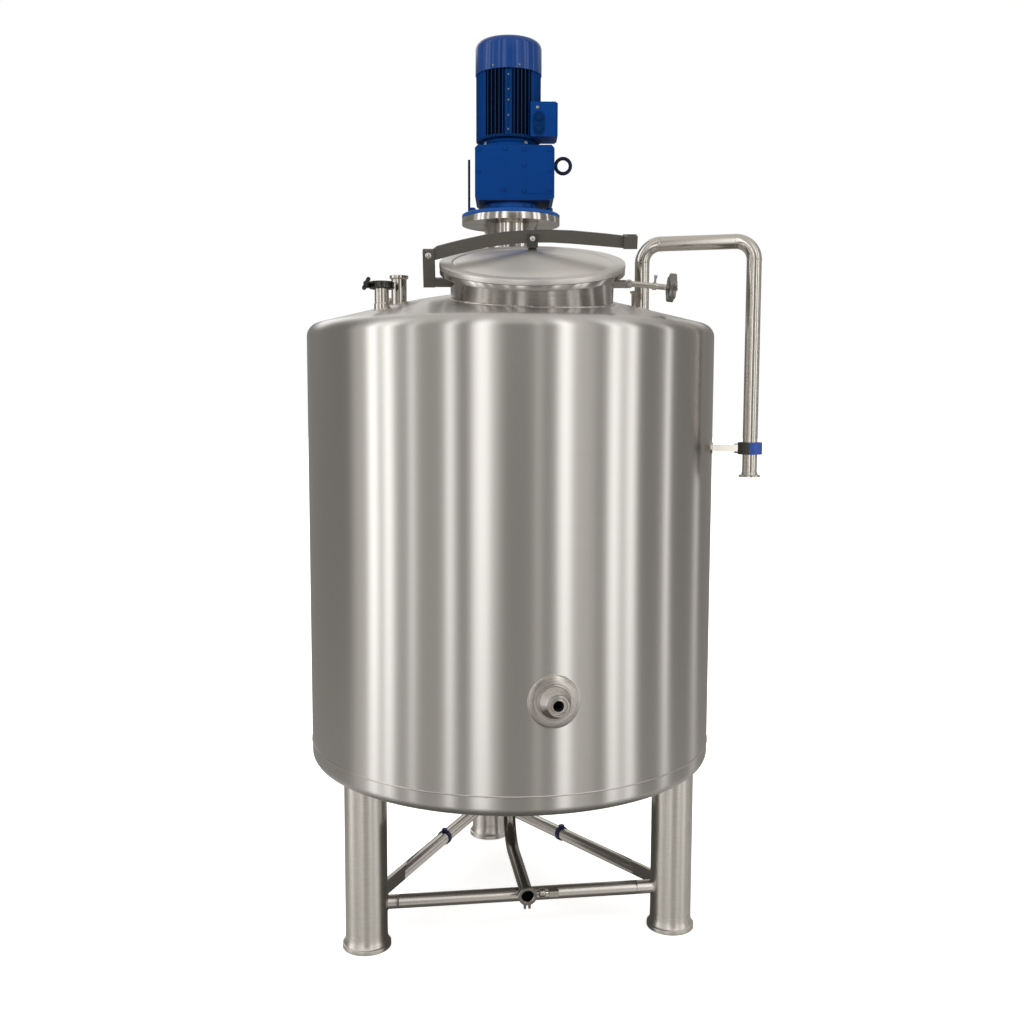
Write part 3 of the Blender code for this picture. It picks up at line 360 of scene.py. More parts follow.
PLINTH_STEEL = brushed_steel("turned_stainless_plinth", "D0CCC6", "B4B0AA", 0.15, 0.55, DRIVE_AXIS)
OUTLET_STEEL = brushed_steel("dull_stainless_outlet", "97938C", "86827B", 0.24)
WELD = weld_metal("stainless_weld_bead", "ECE8E2", "B4AFA7", 0.24)
CABLE_BLUE = moulded_plastic("navy_nylon_tie", "101C46", 0.42)
CLIP_BLUE = moulded_plastic("blue_nylon_clip", "10357C", 0.34)
# Near-black painted shade for the bores, the fan's well and the core between the motor's fins
DARK_INSIDE = moulded_plastic("shadowed_core", "04060B", 0.8, 0.05)
# Navy enamel of the lifting eye and the flange's rod, also used as painted shade under the gear case
NAVY_EYE_AND_SHADE = moulded_plastic("navy_enamel_eye_and_shade", "0B1730", 0.45, 0.2)


def put(name, data):
    """Add an object to the scene."""
    ob = bpy.data.objects.new(name, data)
    bpy.context.scene.collection.objects.link(ob)
    return ob


def soften(mesh):
    mesh.shade_smooth()
    mesh.set_sharp_from_angle(angle=SHARP_ANGLE)


def bake(ob):
    """The plain mesh that an object's modifiers make."""
    mesh = bpy.data.meshes.new_from_object(ob.evaluated_get(bpy.context.evaluated_depsgraph_get()))
    ob.modifiers.clear()
    return mesh


def show(name, mesh, look, body, nodes):
    """Put a mesh in the scene on a body, in place of CAD nodes."""
    ob = put(name, mesh)
    mesh.materials.clear()
    mesh.materials.append(look)
    soften(mesh)
    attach(ob, body)
    if nodes:
        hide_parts(*nodes)
    return ob


def to_mesh(name, bm):
    """Turn a bmesh drawn in the tank's frame into a mesh in the scene's."""
    bmesh.ops.recalc_face_normals(bm, faces=bm.faces)
    bmesh.ops.transform(bm, matrix=HOME, verts=bm.verts)
    mesh = bpy.data.meshes.new(name)
    bm.to_mesh(mesh)
    bm.free()
    return mesh


def close(name, bm, look, slot, *nodes, body="vessel"):
    """Finish a bmesh as a piece."""
    bmesh.ops.remove_doubles(bm, verts=bm.verts, dist=TINY)
    return show(name, to_mesh(name, bm), look, body, nodes)


def carve(ob, bm):
    """Cut a solid out of a piece and keep the result as its plain mesh."""
    tool = put("tool", to_mesh("tool", bm))
    mod = ob.modifiers.new("cut", "BOOLEAN")
    mod.operation = "DIFFERENCE"
    mod.solver = "EXACT"
    mod.object = tool
    ob.data = bake(ob)
    soften(ob.data)
    bpy.data.objects.remove(tool, do_unlink=True)


def angles(count):
    return [2.0 * pi * k / count for k in range(count)]


def circle(radius, count):
    return [(radius * cos(t), radius * sin(t)) for t in angles(count)]


def fillet(points, radius):
    """Round every corner of a closed outline of (x, y) points."""
    out = []
    count = len(points)
    for k in range(count):
        p = Vector(points[k])
        a = Vector(points[k - 1]) - p
        b = Vector(points[(k + 1) % count]) - p
        if a.length < TINY or b.length < TINY:
            continue
        half = acos(max(-1.0, min(1.0, a.normalized().dot(b.normalized())))) / 2.0
        if half > FLAT_HALF or p.x < TINY:
            out.append((p.x, p.y))
            continue
        cut = min(radius / tan(half), 0.45 * a.length, 0.45 * b.length)
        start = p + a.normalized() * cut
        end = p + b.normalized() * cut
        for s in range(CORNER_STEPS + 1):
            t = s / CORNER_STEPS
            q = start * (1.0 - t) ** 2 + p * 2.0 * t * (1.0 - t) + end * t ** 2
            out.append((q.x, q.y))
    return out


def skin(bm, loops, mtx=None):
    """Join loops of points each to the next, and the last to the first. A loop of one point is a tip."""
    rings = [[bm.verts.new(p) for p in loop] for loop in loops]
    for low, high in zip(rings, rings[1:] + rings[:1]):
        count = max(len(low), len(high))
        for k in range(count):
            n = (k + 1) % count
            corners = (low[k % len(low)], low[n % len(low)], high[n % len(high)], high[k % len(high)])
            face = list(dict.fromkeys(corners))
            if len(face) > 2:
                bm.faces.new(face)
    if mtx is not None:
        bmesh.ops.transform(bm, matrix=mtx, verts=[v for loop in rings for v in loop])
    return bm


def turned(bm, profile, seg, mtx=None, corner=0.0):
    """Turn a closed profile of (radius, height) about Z. A point on the axis becomes one vertex."""
    if corner > 0.0:
        profile = fillet(profile, corner)
    loops = [[(x, y, z) for x, y in circle(r, seg)] if r >= TINY else [(0.0, 0.0, z)] for r, z in profile]
    return skin(bm, loops, mtx)


def disc(radius, low, high):
    return [(0.0, low), (radius, low), (radius, high), (0.0, high)]


def ring(inner, outer, low, high):
    return [(inner, low), (outer, low), (outer, high), (inner, high)]


def fork(half, gap, low, floor, high):
    """The outline of a fork: its half width, half its gap, its foot, the gap's floor and the tips."""
    right = [(half, low), (half, high), (gap, high), (gap, floor)]
    return right + [(-x, z) for x, z in reversed(right)]


def both_ways(half):
    """A profile and its mirror image below."""
    return half + [(r, -z) for r, z in reversed(half)]


def prism(bm, outline, low, high, mtx, bevel, steps=2):
    """Stand a flat outline up between two heights, with rounded edges."""
    bottom = [bm.verts.new((x, y, low)) for x, y in outline]
    top = [bm.verts.new((x, y, high)) for x, y in outline]
    faces = [bm.faces.new(list(reversed(bottom))), bm.faces.new(top)]
    count = len(outline)
    for k in range(count):
        n = (k + 1) % count
        faces.append(bm.faces.new((bottom[k], bottom[n], top[n], top[k])))
    edges = [edge for edge in {e for f in faces for e in f.edges} if edge.calc_face_angle(0.0) > BEVEL_ANGLE]
    before = set(bm.verts)
    made = bmesh.ops.bevel(bm, geom=edges, offset=bevel, segments=steps, profile=0.5, affect="EDGES")
    verts = {v for v in bottom + top if v.is_valid} | {v for v in made["verts"] if v not in before}
    if mtx is not None:
        bmesh.ops.transform(bm, matrix=mtx, verts=list(verts))
    return bm


def block(bm, low, high, bevel, mtx=None, steps=2):
    outline = [(low[0], low[1]), (high[0], low[1]), (high[0], high[1]), (low[0], high[1])]
    return prism(bm, outline, low[2], high[2], mtx, bevel, steps)


def frame_along(start, end):
    turn = (Vector(end) - Vector(start)).to_track_quat("Z", "Y").to_matrix().to_4x4()
    return move(start) @ turn


def rod(bm, start, end, radius, seg, corner=0.0):
    length = (Vector(end) - Vector(start)).length
    return turned(bm, disc(radius, 0.0, length), seg, frame_along(start, end), corner)


def polar(az, radius, z):
    """A point at an azimuth from the front towards the right."""
    return Vector((radius * sin(az), -radius * cos(az), z))


def radial_frame(az, z):
    """A frame whose Z points away from the tank's axis and whose Y points up."""
    return Matrix.Rotation(az, 4, "Z") @ move(up(z)) @ UPRIGHT


def round_at(centre, side, top, radius, seg):
    """A circle of points in the plane of two directions."""
    return [centre + side * cos(t) * radius + top * sin(t) * radius for t in angles(seg)]


def pipe(bm, path, outer, inner, seg=48):
    """A round tube with a bore along a bent path in one plane, square cut at both ends."""
    steps = [b - a for a, b in zip(path, path[1:])]
    bends = (a.cross(b) for a, b in zip(steps, steps[1:]))
    side = next(bend for bend in bends if bend.length > 1e-9).normalized()
    walls = []
    for radius in (outer, inner):
        wall = []
        for p, before, after in zip(path, steps[:1] + steps, steps + steps[-1:]):
            tangent = (before.normalized() + after.normalized()).normalized()
            wall.append(round_at(p, side, side.cross(tangent).normalized(), radius, seg))
        walls.append(wall)
    return skin(bm, walls[0] + walls[1][::-1])


def bead(bm, path, radius, ripple=0.16, sides=8, normal=(0.0, 0.0, 1.0)):
    """A weld bead along a closed path: a round string whose thickness ripples from drop to drop.

    normal is the way that the loop faces, and no stretch of the path runs along it.
    """
    travelled = 0.0
    loops = []
    for before, p, after in zip(path[-1:] + path, path, path[1:] + path[:1]):
        tangent = (after - before).normalized()
        side = tangent.cross(Vector(normal)).normalized()
        r = radius * (1.0 + ripple * sin(2.0 * pi * travelled / BEAD_PITCH))
        loops.append(round_at(p, side, side.cross(tangent).normalized(), r, sides))
        travelled += (after - p).length
    return skin(bm, loops)


def arc(cx, cz, radius, start, end, steps):
    turns = [radians(start + (end - start) * k / steps) for k in range(steps + 1)]
    return [(cx + radius * cos(a), cz + radius * sin(a)) for a in turns]


def head_outline(tangent, knuckle, slope, cone_r, lift, shrink=0.0, steps=14, cone_steps=10, rings=10):
    """Outside of a dished head from its rim to its middle. shrink moves it inwards."""
    points = arc(R_TANK - knuckle, 0.0, knuckle - shrink, 0.0, 90.0 - degrees(slope), steps)
    r_end, z_end = points[-1]
    rise = tan(slope)
    for k in range(1, cone_steps + 1):
        r = r_end + (cone_r - r_end) * k / cone_steps
        points.append((r, z_end + (r_end - r) * rise))
    z_cone = points[-1][1]
    for k in range(1, rings + 1):
        r = cone_r * (1.0 - k / rings)
        points.append((r, z_cone + rise * (cone_r ** 2 - r ** 2) / (2.0 * cone_r)))
    return [(r, tangent + lift * z) for r, z in points]


def height_on(outline, r):
    """Height of a head's outline at a radius."""
    for (r1, z1), (r2, z2) in zip(outline, outline[1:]):
        if r2 <= r <= r1 and r1 > r2:
            return z1 + (z2 - z1) * (r1 - r) / (r1 - r2)
    return outline[-1][1]


TOP_OUTLINE = head_outline(*TOP_HEAD)
BOT_OUTLINE = head_outline(*BOT_HEAD)
LEG_PLACES = [polar(radians(az), LEG_CIRCLE, 0.0) for az in LEG_AZ]


def foot_of(mtx, radius, count):
    """Where a round neck with its axis along mtx's Z meets the top head."""
    path = []
    for x, y in circle(radius, count):
        low, high = -0.4, 0.3
        for _ in range(40):
            mid = (low + high) / 2.0
            p = mtx @ Vector((x, y, mid))
            if p.z > height_on(TOP_OUTLINE, hypot(p.x, p.y)):
                high = mid
            else:
                low = mid
        path.append(mtx @ Vector((x, y, high)))
    return path


def start_tree(name, count, *sizes):
    """A geometry tree that takes a count, some sizes and a material, and gives one geometry."""
    tree = bpy.data.node_groups.new(name, "GeometryNodeTree")
    for label, kind in [(count, "Int")] + [(size, "Float") for size in sizes] + [("Material", "Material")]:
        tree.interface.new_socket(name=label, in_out="INPUT", socket_type="NodeSocket" + kind)
    tree.interface.new_socket(name="Geometry", in_out="OUTPUT", socket_type="NodeSocketGeometry")
    return tree, add(tree, "NodeGroupInput").outputs


def end_tree(tree, sizes, copies):
    """Make the copies real, give them their material and send them out."""
    real = add(tree, "GeometryNodeRealizeInstances", {"Geometry": copies.outputs[0]}).outputs[0]
    dressed = add(tree, "GeometryNodeSetMaterial", {"Geometry": real, "Material": sizes["Material"]})
    add(tree, "NodeGroupOutput", {"Geometry": dressed.outputs[0]})
    return tree


def raised(tree, part, height):
    inputs = {"Geometry": part.outputs["Mesh"], "Translation": xyz(tree, z=height)}
    return add(tree, "GeometryNodeTransform", inputs).outputs[0]


def screw_tree(name, outward, sides):
    """A ring of screws on washers, standing up or pointing away from the ring's middle."""
    tree, sizes = start_tree(
        name, "Screws", "Ring radius", "Head radius", "Head height", "Washer radius", "Washer height",
    )
    spots = add(tree, "GeometryNodeMeshCircle", {"Vertices": sizes["Screws"], "Radius": sizes["Ring radius"]})
    washer, head = (
        add(tree, "GeometryNodeMeshCylinder", {
            "Vertices": count, "Radius": sizes[part + " radius"], "Depth": sizes[part + " height"],
        })
        for part, count in (("Washer", 24), ("Head", sides))
    )
    crown = add(tree, "GeometryNodeMeshCone", {
        "Vertices": sides, "Radius Bottom": sizes["Head radius"],
        "Radius Top": maths(tree, "MULTIPLY", sizes["Head radius"], 0.55),
        "Depth": maths(tree, "MULTIPLY", sizes["Head height"], 0.22),
    })
    half = maths(tree, "MULTIPLY", sizes["Head height"], 0.5)
    middle = maths(tree, "ADD", half, sizes["Washer height"])
    top = maths(tree, "ADD", middle, half)
    whole = add(tree, "GeometryNodeJoinGeometry")
    for part in (washer.outputs["Mesh"], raised(tree, head, middle), raised(tree, crown, top)):
        tree.links.new(part, whole.inputs[0])
    inputs = {"Points": spots.outputs[0], "Instance": whole.outputs[0]}
    if outward:
        at = add(tree, "GeometryNodeInputPosition").outputs[0]
        turn = add(tree, "FunctionNodeAlignRotationToVector", {"Vector": at}, axis="Z")
        inputs["Rotation"] = turn.outputs[0]
    return end_tree(tree, sizes, add(tree, "GeometryNodeInstanceOnPoints", inputs))


def fin_tree():
    """Four banks of parallel cooling fins that end on one round outline."""
    tree, sizes = start_tree("cooling_fins", "Fins", "Pitch", "Thickness", "Height", "Outer radius")
    span = maths(tree, "MULTIPLY", maths(tree, "SUBTRACT", sizes["Fins"], 1.0), sizes["Pitch"])
    spots = add(tree, "GeometryNodeMeshLine", {
        "Count": sizes["Fins"], "Start Location": xyz(tree, maths(tree, "MULTIPLY", span, -0.5)),
        "Offset": xyz(tree, sizes["Pitch"]),
    }, mode="OFFSET")
    plate = add(tree, "GeometryNodeMeshCube", {"Size": xyz(tree, sizes["Thickness"], 1.0, sizes["Height"])})
    fin = add(tree, "GeometryNodeTransform", {"Geometry": plate.outputs[0], "Translation": (0.0, -0.5, 0.0)})
    # Every fin is as long as the outline allows at its place
    at = add(tree, "ShaderNodeSeparateXYZ", {0: add(tree, "GeometryNodeInputPosition").outputs[0]})
    squares = [maths(tree, "POWER", size, 2.0) for size in (sizes["Outer radius"], at.outputs["X"])]
    reach = maths(tree, "SQRT", maths(tree, "SUBTRACT", *squares))
    bank = add(tree, "GeometryNodeInstanceOnPoints", {
        "Points": spots.outputs[0], "Instance": fin.outputs[0], "Scale": xyz(tree, 1.0, reach, 1.0),
    })
    real = add(tree, "GeometryNodeRealizeInstances", {"Geometry": bank.outputs[0]})
    quarters = add(tree, "GeometryNodeMeshLine", {"Count": 4, "Offset": (0.0, 0.0, 0.0)}, mode="OFFSET")
    angle = maths(tree, "MULTIPLY", add(tree, "GeometryNodeInputIndex").outputs[0], pi / 2.0)
    banks = add(tree, "GeometryNodeInstanceOnPoints", {
        "Points": quarters.outputs[0], "Instance": real.outputs[0], "Rotation": xyz(tree, z=angle),
    })
    return end_tree(tree, sizes, banks)


def grow(name, tree, values, look, mtx, *nodes):
    """Run a geometry tree and keep what it makes as a piece in the given look. Its values come in the tree's
    order.
    """
    ob = put(name + "_maker", bpy.data.meshes.new(name + "_seed"))
    mod = ob.modifiers.new("maker", "NODES")
    mod.node_group = tree
    ids = [item.identifier for item in tree.interface.items_tree if item.in_out == "INPUT"]
    for socket, value in zip(ids, (*values, look)):
        mod[socket] = value
    mesh = bake(ob)
    bpy.data.objects.remove(ob, do_unlink=True)
    mesh.transform(HOME @ mtx)
    return show(name, mesh, look, "vessel", nodes)


def build_head(name, node, shape, seam, cone_steps):
    """A dished head with a straight edge at the seam. Its inside lies one plate further in."""
    inside = head_outline(*shape, PLATE, 6, cone_steps, 6)
    outline = [(R_TANK, seam)] + head_outline(*shape) + inside[::-1] + [(R_TANK - PLATE, seam)]
    return close(name, turned(bmesh.new(), outline, 256), SHELL_STEEL, STAINLESS, node)


def build_vessel():
    wall = ring(R_TANK - WALL, R_TANK, Z_SEAM_LOW, Z_SEAM_TOP)
    close("shell_wall", turned(bmesh.new(), wall, 256), SHELL_STEEL, STAINLESS, "shell")
    top = build_head("top_dome", "top_head", TOP_HEAD, Z_SEAM_TOP, 6)
    carve(top, turned(bmesh.new(), disc(NECK_R - NECK_WALL / 2.0, -0.25, -0.02), 128, MAN))
    build_head("bottom_dome", "bottom_head", BOT_HEAD, Z_SEAM_LOW, 4)


def circle_at(centre, radius, count):
    return [centre + Vector((x, y, 0.0)) for x, y in circle(radius, count)]


def build_welds():
    """Beads where the vessel's pieces meet."""
    bm = bead(bmesh.new(), circle_at(up(Z_SEAM_LOW + 0.0005), R_TANK, 1600), 0.0018, 0.2, 6)
    close("low_seam_bead", bm, WELD, STAINLESS, "seam_weld")
    bm = bead(bmesh.new(), foot_of(MAN, NECK_R + 0.0012, 480), 0.0036)
    line = polar(LINE_AZ, LINE_R_IN, 0.0)
    # Where a neck stands, its radius, the bead's points and the bead's radius
    for (x, y), radius, count, thick in (
        ((0.0, DRIVE_Y), PEDESTAL_R + 0.001, 160, 0.003), (line.xy, LINE_TUBE + 0.0008, 80, 0.0022),
        (PORT_TUBE, 0.021, 64, 0.002), (PORT_CLAMP, 0.0205, 64, 0.002),
        (PORT_PLUG, 0.0075, 64, 0.002), (PORT_REAR, 0.0135, 64, 0.002),
    ):
        bead(bm, foot_of(move((x, y, Z_ROOF)), radius, count), thick)
    close("top_weld_beads", bm, WELD, STAINLESS)
    bm = bmesh.new()
    for at in LEG_PLACES:
        path = []
        for p in circle_at(at, LEG_R + 0.001, 180):
            r = min(hypot(p.x, p.y), R_TANK - 0.0005)
            path.append(Vector((p.x, p.y, height_on(BOT_OUTLINE, r) - 0.0008)))
        bead(bm, path, 0.0028)
    close("leg_weld_beads", bm, WELD, STAINLESS)


def build_leg(number, at):
    """A tube cut to the curve of the bottom head, on a stepped round foot."""
    low = LEG_FOOT_TOP + GAP
    spots = [(at.x + x, at.y + y) for x, y in circle(LEG_R, 96)]
    cut = []
    for x, y in spots:
        r = min(hypot(x, y), R_TANK - 0.0003)
        cut.append((x, y, height_on(BOT_OUTLINE, r) - GAP))
    tip = (at.x, at.y, height_on(BOT_OUTLINE, LEG_CIRCLE) - 0.004)
    bm = skin(bmesh.new(), [[(at.x, at.y, low)], [(x, y, low) for x, y in spots], cut, [tip]])
    look = brushed_steel("brushed_stainless_leg_%d" % number, "DCD8D1", "C6C1B9", 0.33, 0.0, at + AXIS)
    close("leg_tube_%d" % number, bm, look, SATIN, "leg_%d" % number)
    flare = [(0.0, 0.0), (0.0652, 0.0), (0.066, 0.001), (0.066, 0.0112), (0.0652, 0.0122)]
    flare += [(0.0574 + 0.0052 * (1.0 - s / 9.0) ** 4.0, 0.0134 + 0.0306 * s / 9.0) for s in range(10)]
    flare += [(0.0, LEG_FOOT_TOP)]
    bm = turned(bmesh.new(), flare, 96, move(at), 0.0008)
    close("foot_flare_%d" % number, bm, look, SATIN, "foot_%d" % number)


def build_stand():
    for k, at in enumerate(LEG_PLACES):
        build_leg(k + 1, at)
    beads = bmesh.new()
    for k in range(3):
        a = LEG_PLACES[k] + up(BRACE_Z)
        b = LEG_PLACES[(k + 1) % 3] + up(BRACE_Z)
        way = (b - a).normalized()
        side = way.cross(up(1.0))
        inset = way * (LEG_R - 0.004)
        bm = rod(bmesh.new(), a + inset, b - inset, BRACE_R, 64)
        close("brace_tube_%d" % (k + 1), bm, BRACE_STEEL, SATIN, "brace_%d" % (k + 1))
        for start, sign in ((a, 1.0), (b, -1.0)):
            path = []
            for t in angles(72):
                across = (BRACE_R + 0.0012) * cos(t)
                out = sqrt(LEG_R ** 2 - across ** 2)
                path.append(start + way * sign * out + side * across + up((BRACE_R + 0.0012) * sin(t)))
            bead(beads, path, 0.0022, normal=way)
        if k > 0:
            # A cable tie: its band and the square head on top
            mid = a + (b - a) * (0.555 if k == 1 else 0.42)
            tie = frame_along(mid, mid + way)
            bm = turned(bmesh.new(), ring(BRACE_R + GAP, BRACE_R + 0.0032, -0.0075, 0.0075), 48, tie, 0.0008)
            low = (-0.0065, BRACE_R + 0.0028, -0.0065)
            block(bm, low, (0.0065, BRACE_R + 0.009, 0.0065), 0.0012, tie)
            close("tie_band_%d" % k, bm, CABLE_BLUE, TRIM, "brace_tie_%d" % k)
    close("brace_weld_beads", beads, WELD, SATIN)


def pin_frame(at):
    """A frame in the manway at (right, up) whose Z runs along Y."""
    return MAN @ move((at[0], 0.0, at[1])) @ spin(-90.0, "X")


def swing_frame():
    turn = Matrix.Rotation(radians(90.0) + SWING_DROOP, 4, "Y")
    return MAN @ move((SWING[0], 0.0, SWING[1])) @ turn @ Matrix.Rotation(pi, 4, "Z")


def build_neck():
    """The neck's wall runs down into the head. The lid closes on its rim band."""
    seg = 192
    reach = MAN.inverted()
    feet = [(reach @ (p - up(0.03))).z for p in foot_of(MAN, NECK_R, seg)]
    inner = NECK_R - NECK_WALL
    edge = RIM_R - 0.0005
    wall = [(NECK_R, BAND_LOW - 0.004), (NECK_R + 0.0012, BAND_LOW - 0.001)]
    band = [(NECK_R, BAND_LOW), (edge, BAND_LOW), (edge, -RIM_DEEP - GAP), (inner, -RIM_DEEP - GAP)]
    profile = [(NECK_R, None)] + wall + fillet(band, 0.0012) + [(inner, None)]
    loops = [
        [(x, y, foot if z is None else z) for (x, y), foot in zip(circle(r, seg), feet)] for r, z in profile
    ]
    close("neck_ring", skin(bmesh.new(), loops, MAN), NECK_STEEL, STAINLESS, "manway_neck")


def build_lid():
    outline = [
        (0.0, 0.031), (0.015, 0.0309), (0.06, 0.0241), (0.11, 0.0162), (0.16, 0.008), (0.196, 0.0012),
        (0.204, -0.002), (0.2085, 0.0), (RIM_R, 0.0), (RIM_R, -RIM_DEEP), (0.202, -RIM_DEEP),
        (0.195, -0.0055), (0.015, 0.025), (0.0, 0.025),
    ]
    bm = turned(bmesh.new(), outline, 192, MAN, 0.0018)
    close("lid_dish", bm, LID_STEEL, STAINLESS, "manway_lid", body="lid")

    bm = prism(bmesh.new(), fork(0.013, 0.0066, 0.038, 0.0465, 0.07), -0.014, 0.014, MAN @ ACROSS, 0.0008)
    stub = [(0.0, 0.0313), (0.0115, 0.0313), (0.0115, 0.034), (0.0075, 0.036), (0.0075, 0.04), (0.0, 0.04)]
    turned(bm, stub, 48, MAN, 0.0006)
    close("lid_fork", bm, DULL_STEEL, DARK, "lid_clevis", body="lid")


def arm_outline():
    """The bowed arm from the side: the upper edge, the lower edge, and a round end at the hinge."""
    upper = [
        (-0.245, 0.0395), (-0.21, 0.0485), (-0.1797, 0.0558), (-0.1207, 0.0685), (-0.0621, 0.0762),
        (0.0, 0.08), (0.05, 0.0808), (0.1017, 0.0793), (0.1802, 0.0725), (0.236, 0.0665),
    ]
    lower = [
        (0.236, 0.036), (0.17, 0.0415), (0.1, 0.047), (0.05, 0.0497), (0.0, 0.0497),
        (-0.05, 0.0462), (-0.1, 0.04), (-0.15, 0.03), (-0.2, 0.018), (-0.245, 0.006),
    ]
    return upper + lower + arc(PIVOT[0], PIVOT[1], 0.015, 300.0, 60.0, 16)


def dome_pin(bm, at, radius, half, head_r):
    """A pin along Y with a washer and a domed head at each end."""
    profile = [
        (0.0, half + 0.0045), (head_r * 0.35, half + 0.0043), (head_r * 0.65, half + 0.0037),
        (head_r * 0.88, half + 0.0026), (head_r, half + 0.0012), (head_r, half + GAP), (radius, half + GAP),
    ]
    return turned(bm, both_ways(profile), 40, pin_frame(at))


def build_arm():
    bm = prism(bmesh.new(), arm_outline(), -ARM_HALF, ARM_HALF, MAN @ UPRIGHT, 0.001)
    # The fork at the arm's end takes the closing bolt
    prism(bm, fork(0.0165, 0.0085, 0.233, 0.243, 0.268), 0.0355, 0.068, MAN @ spin(-90.0), 0.001)
    close("arm_bar", bm, ARM_STEEL, DARK, "lid_arm", body="lid")
    pin = dome_pin(bmesh.new(), (0.0, 0.061), 0.004, 0.014, 0.0075)
    close("arm_bolt", pin, TUBE_STEEL, STAINLESS, "clevis_bolt", body="lid")

    foot = MAN @ move(up(-0.065)) @ ACROSS
    bm = prism(bmesh.new(), fork(0.012, 0.0066, 0.0, 0.023, 0.0955), -0.282, -0.252, foot, 0.001)
    block(bm, (-0.27, -0.011, -0.064), (-NECK_R, 0.011, -0.043), 0.001, MAN)
    close("hinge_cheeks", bm, ARM_STEEL, DARK, "hinge_bracket")
    pin = dome_pin(bmesh.new(), PIVOT, 0.006, 0.0124, 0.0085)
    close("hinge_rivet", pin, TUBE_STEEL, STAINLESS, "hinge_pin")


def build_closing_bolt():
    bm = bmesh.new()
    ear = [(NECK_R - 0.002, -0.065), (0.254, -0.065)] + arc(0.253, -0.057, 0.008, -80.0, 80.0, 8)
    ear += [(0.254, -0.049), (NECK_R - 0.002, -0.049)]
    for near in (-0.014, 0.009):
        prism(bm, ear, near, near + 0.005, MAN @ UPRIGHT, 0.0008)
    block(bm, (NECK_R - 0.002, -0.01, -0.065), (0.222, 0.01, -0.049), 0.0006, MAN)
    close("bolt_ears", bm, GUSSET_STEEL, STAINLESS, "swing_lug")

    along = swing_frame()
    eye = [
        (0.0, -0.018), (0.0058, -0.018), (0.006, -0.0145), (0.004, -0.0145), (0.004, -0.008), (0.01, -0.008),
    ]
    bm = turned(bmesh.new(), both_ways(eye), 32, pin_frame(SWING), 0.0007)
    turned(bm, disc(0.0075, 0.001, 0.128), 32, along, 0.001)
    turned(bm, disc(0.01, 0.062, 0.072), 32, along, 0.0012)
    lever = along @ move((0.003, 0.0, 0.067)) @ spin(90.0, "Y")
    knob = [(0.0, 0.0), (0.0028, 0.0), (0.0028, 0.018), (0.0042, 0.0186), (0.0042, 0.0256), (0.0, 0.0262)]
    turned(bm, knob, 24, lever, 0.0006)
    # Thread on the outer half of the rod, drawn as rings 2 mm apart
    for k in range(8):
        z = 0.077 + 0.002 * k
        turned(bm, [(0.0073, z), (0.0079, z + 0.0007), (0.0073, z + 0.0014), (0.0068, z + 0.0007)], 24, along)
    close("closing_rod", bm, TUBE_STEEL, STAINLESS, "swing_bolt", body="closing_bolt")

    # Six shallow lobes round the rim, and a hub
    rim = both_ways([(0.01, -0.0085), (0.004, -0.0095), (0.0012, -0.0085), (0.0, -0.0062)])
    hub = both_ways([(0.013, 0.007), (0.013, 0.0095), (0.0081, 0.0095)])
    turns = angles(120)
    lobes = [0.0345 + 0.003 * cos(6.0 * a) for a in turns]
    levels = [([lobe - inset for lobe in lobes], z) for inset, z in rim]
    levels += [([r] * len(turns), z) for r, z in hub]
    loops = []
    for radii, z in levels:
        loops.append([(r * cos(a), r * sin(a), WHEEL_AT + z) for r, a in zip(radii, turns)])
    close("lobed_wheel", skin(bmesh.new(), loops, along), WHEEL_STEEL, DARK, "hand_wheel", body="wheel")


def build_pedestal():
    tube_in = PEDESTAL_R - 0.008
    profile = [
        (tube_in, 1.745), (PEDESTAL_R, 1.745), (PEDESTAL_R, RING_LOW), (FLANGE_R, RING_LOW),
        (FLANGE_R, RING_TOP), (tube_in, RING_TOP),
    ]
    bm = turned(bmesh.new(), profile, 128, DRIVE, 0.001)
    close("drive_ring", bm, PLINTH_STEEL, STAINLESS, "drive_pedestal")
    bm = bmesh.new()
    inner = PEDESTAL_R - 0.003
    web = [(inner, RING_LOW - 0.062), (inner, RING_LOW), (0.106, RING_LOW), (0.106, RING_LOW - 0.008)]
    for k in range(4):
        prism(bm, web, -0.004, 0.004, DRIVE @ spin(45.0 + 90.0 * k) @ UPRIGHT, 0.0008)
    close("drive_gussets", bm, GUSSET_STEEL, STAINLESS)


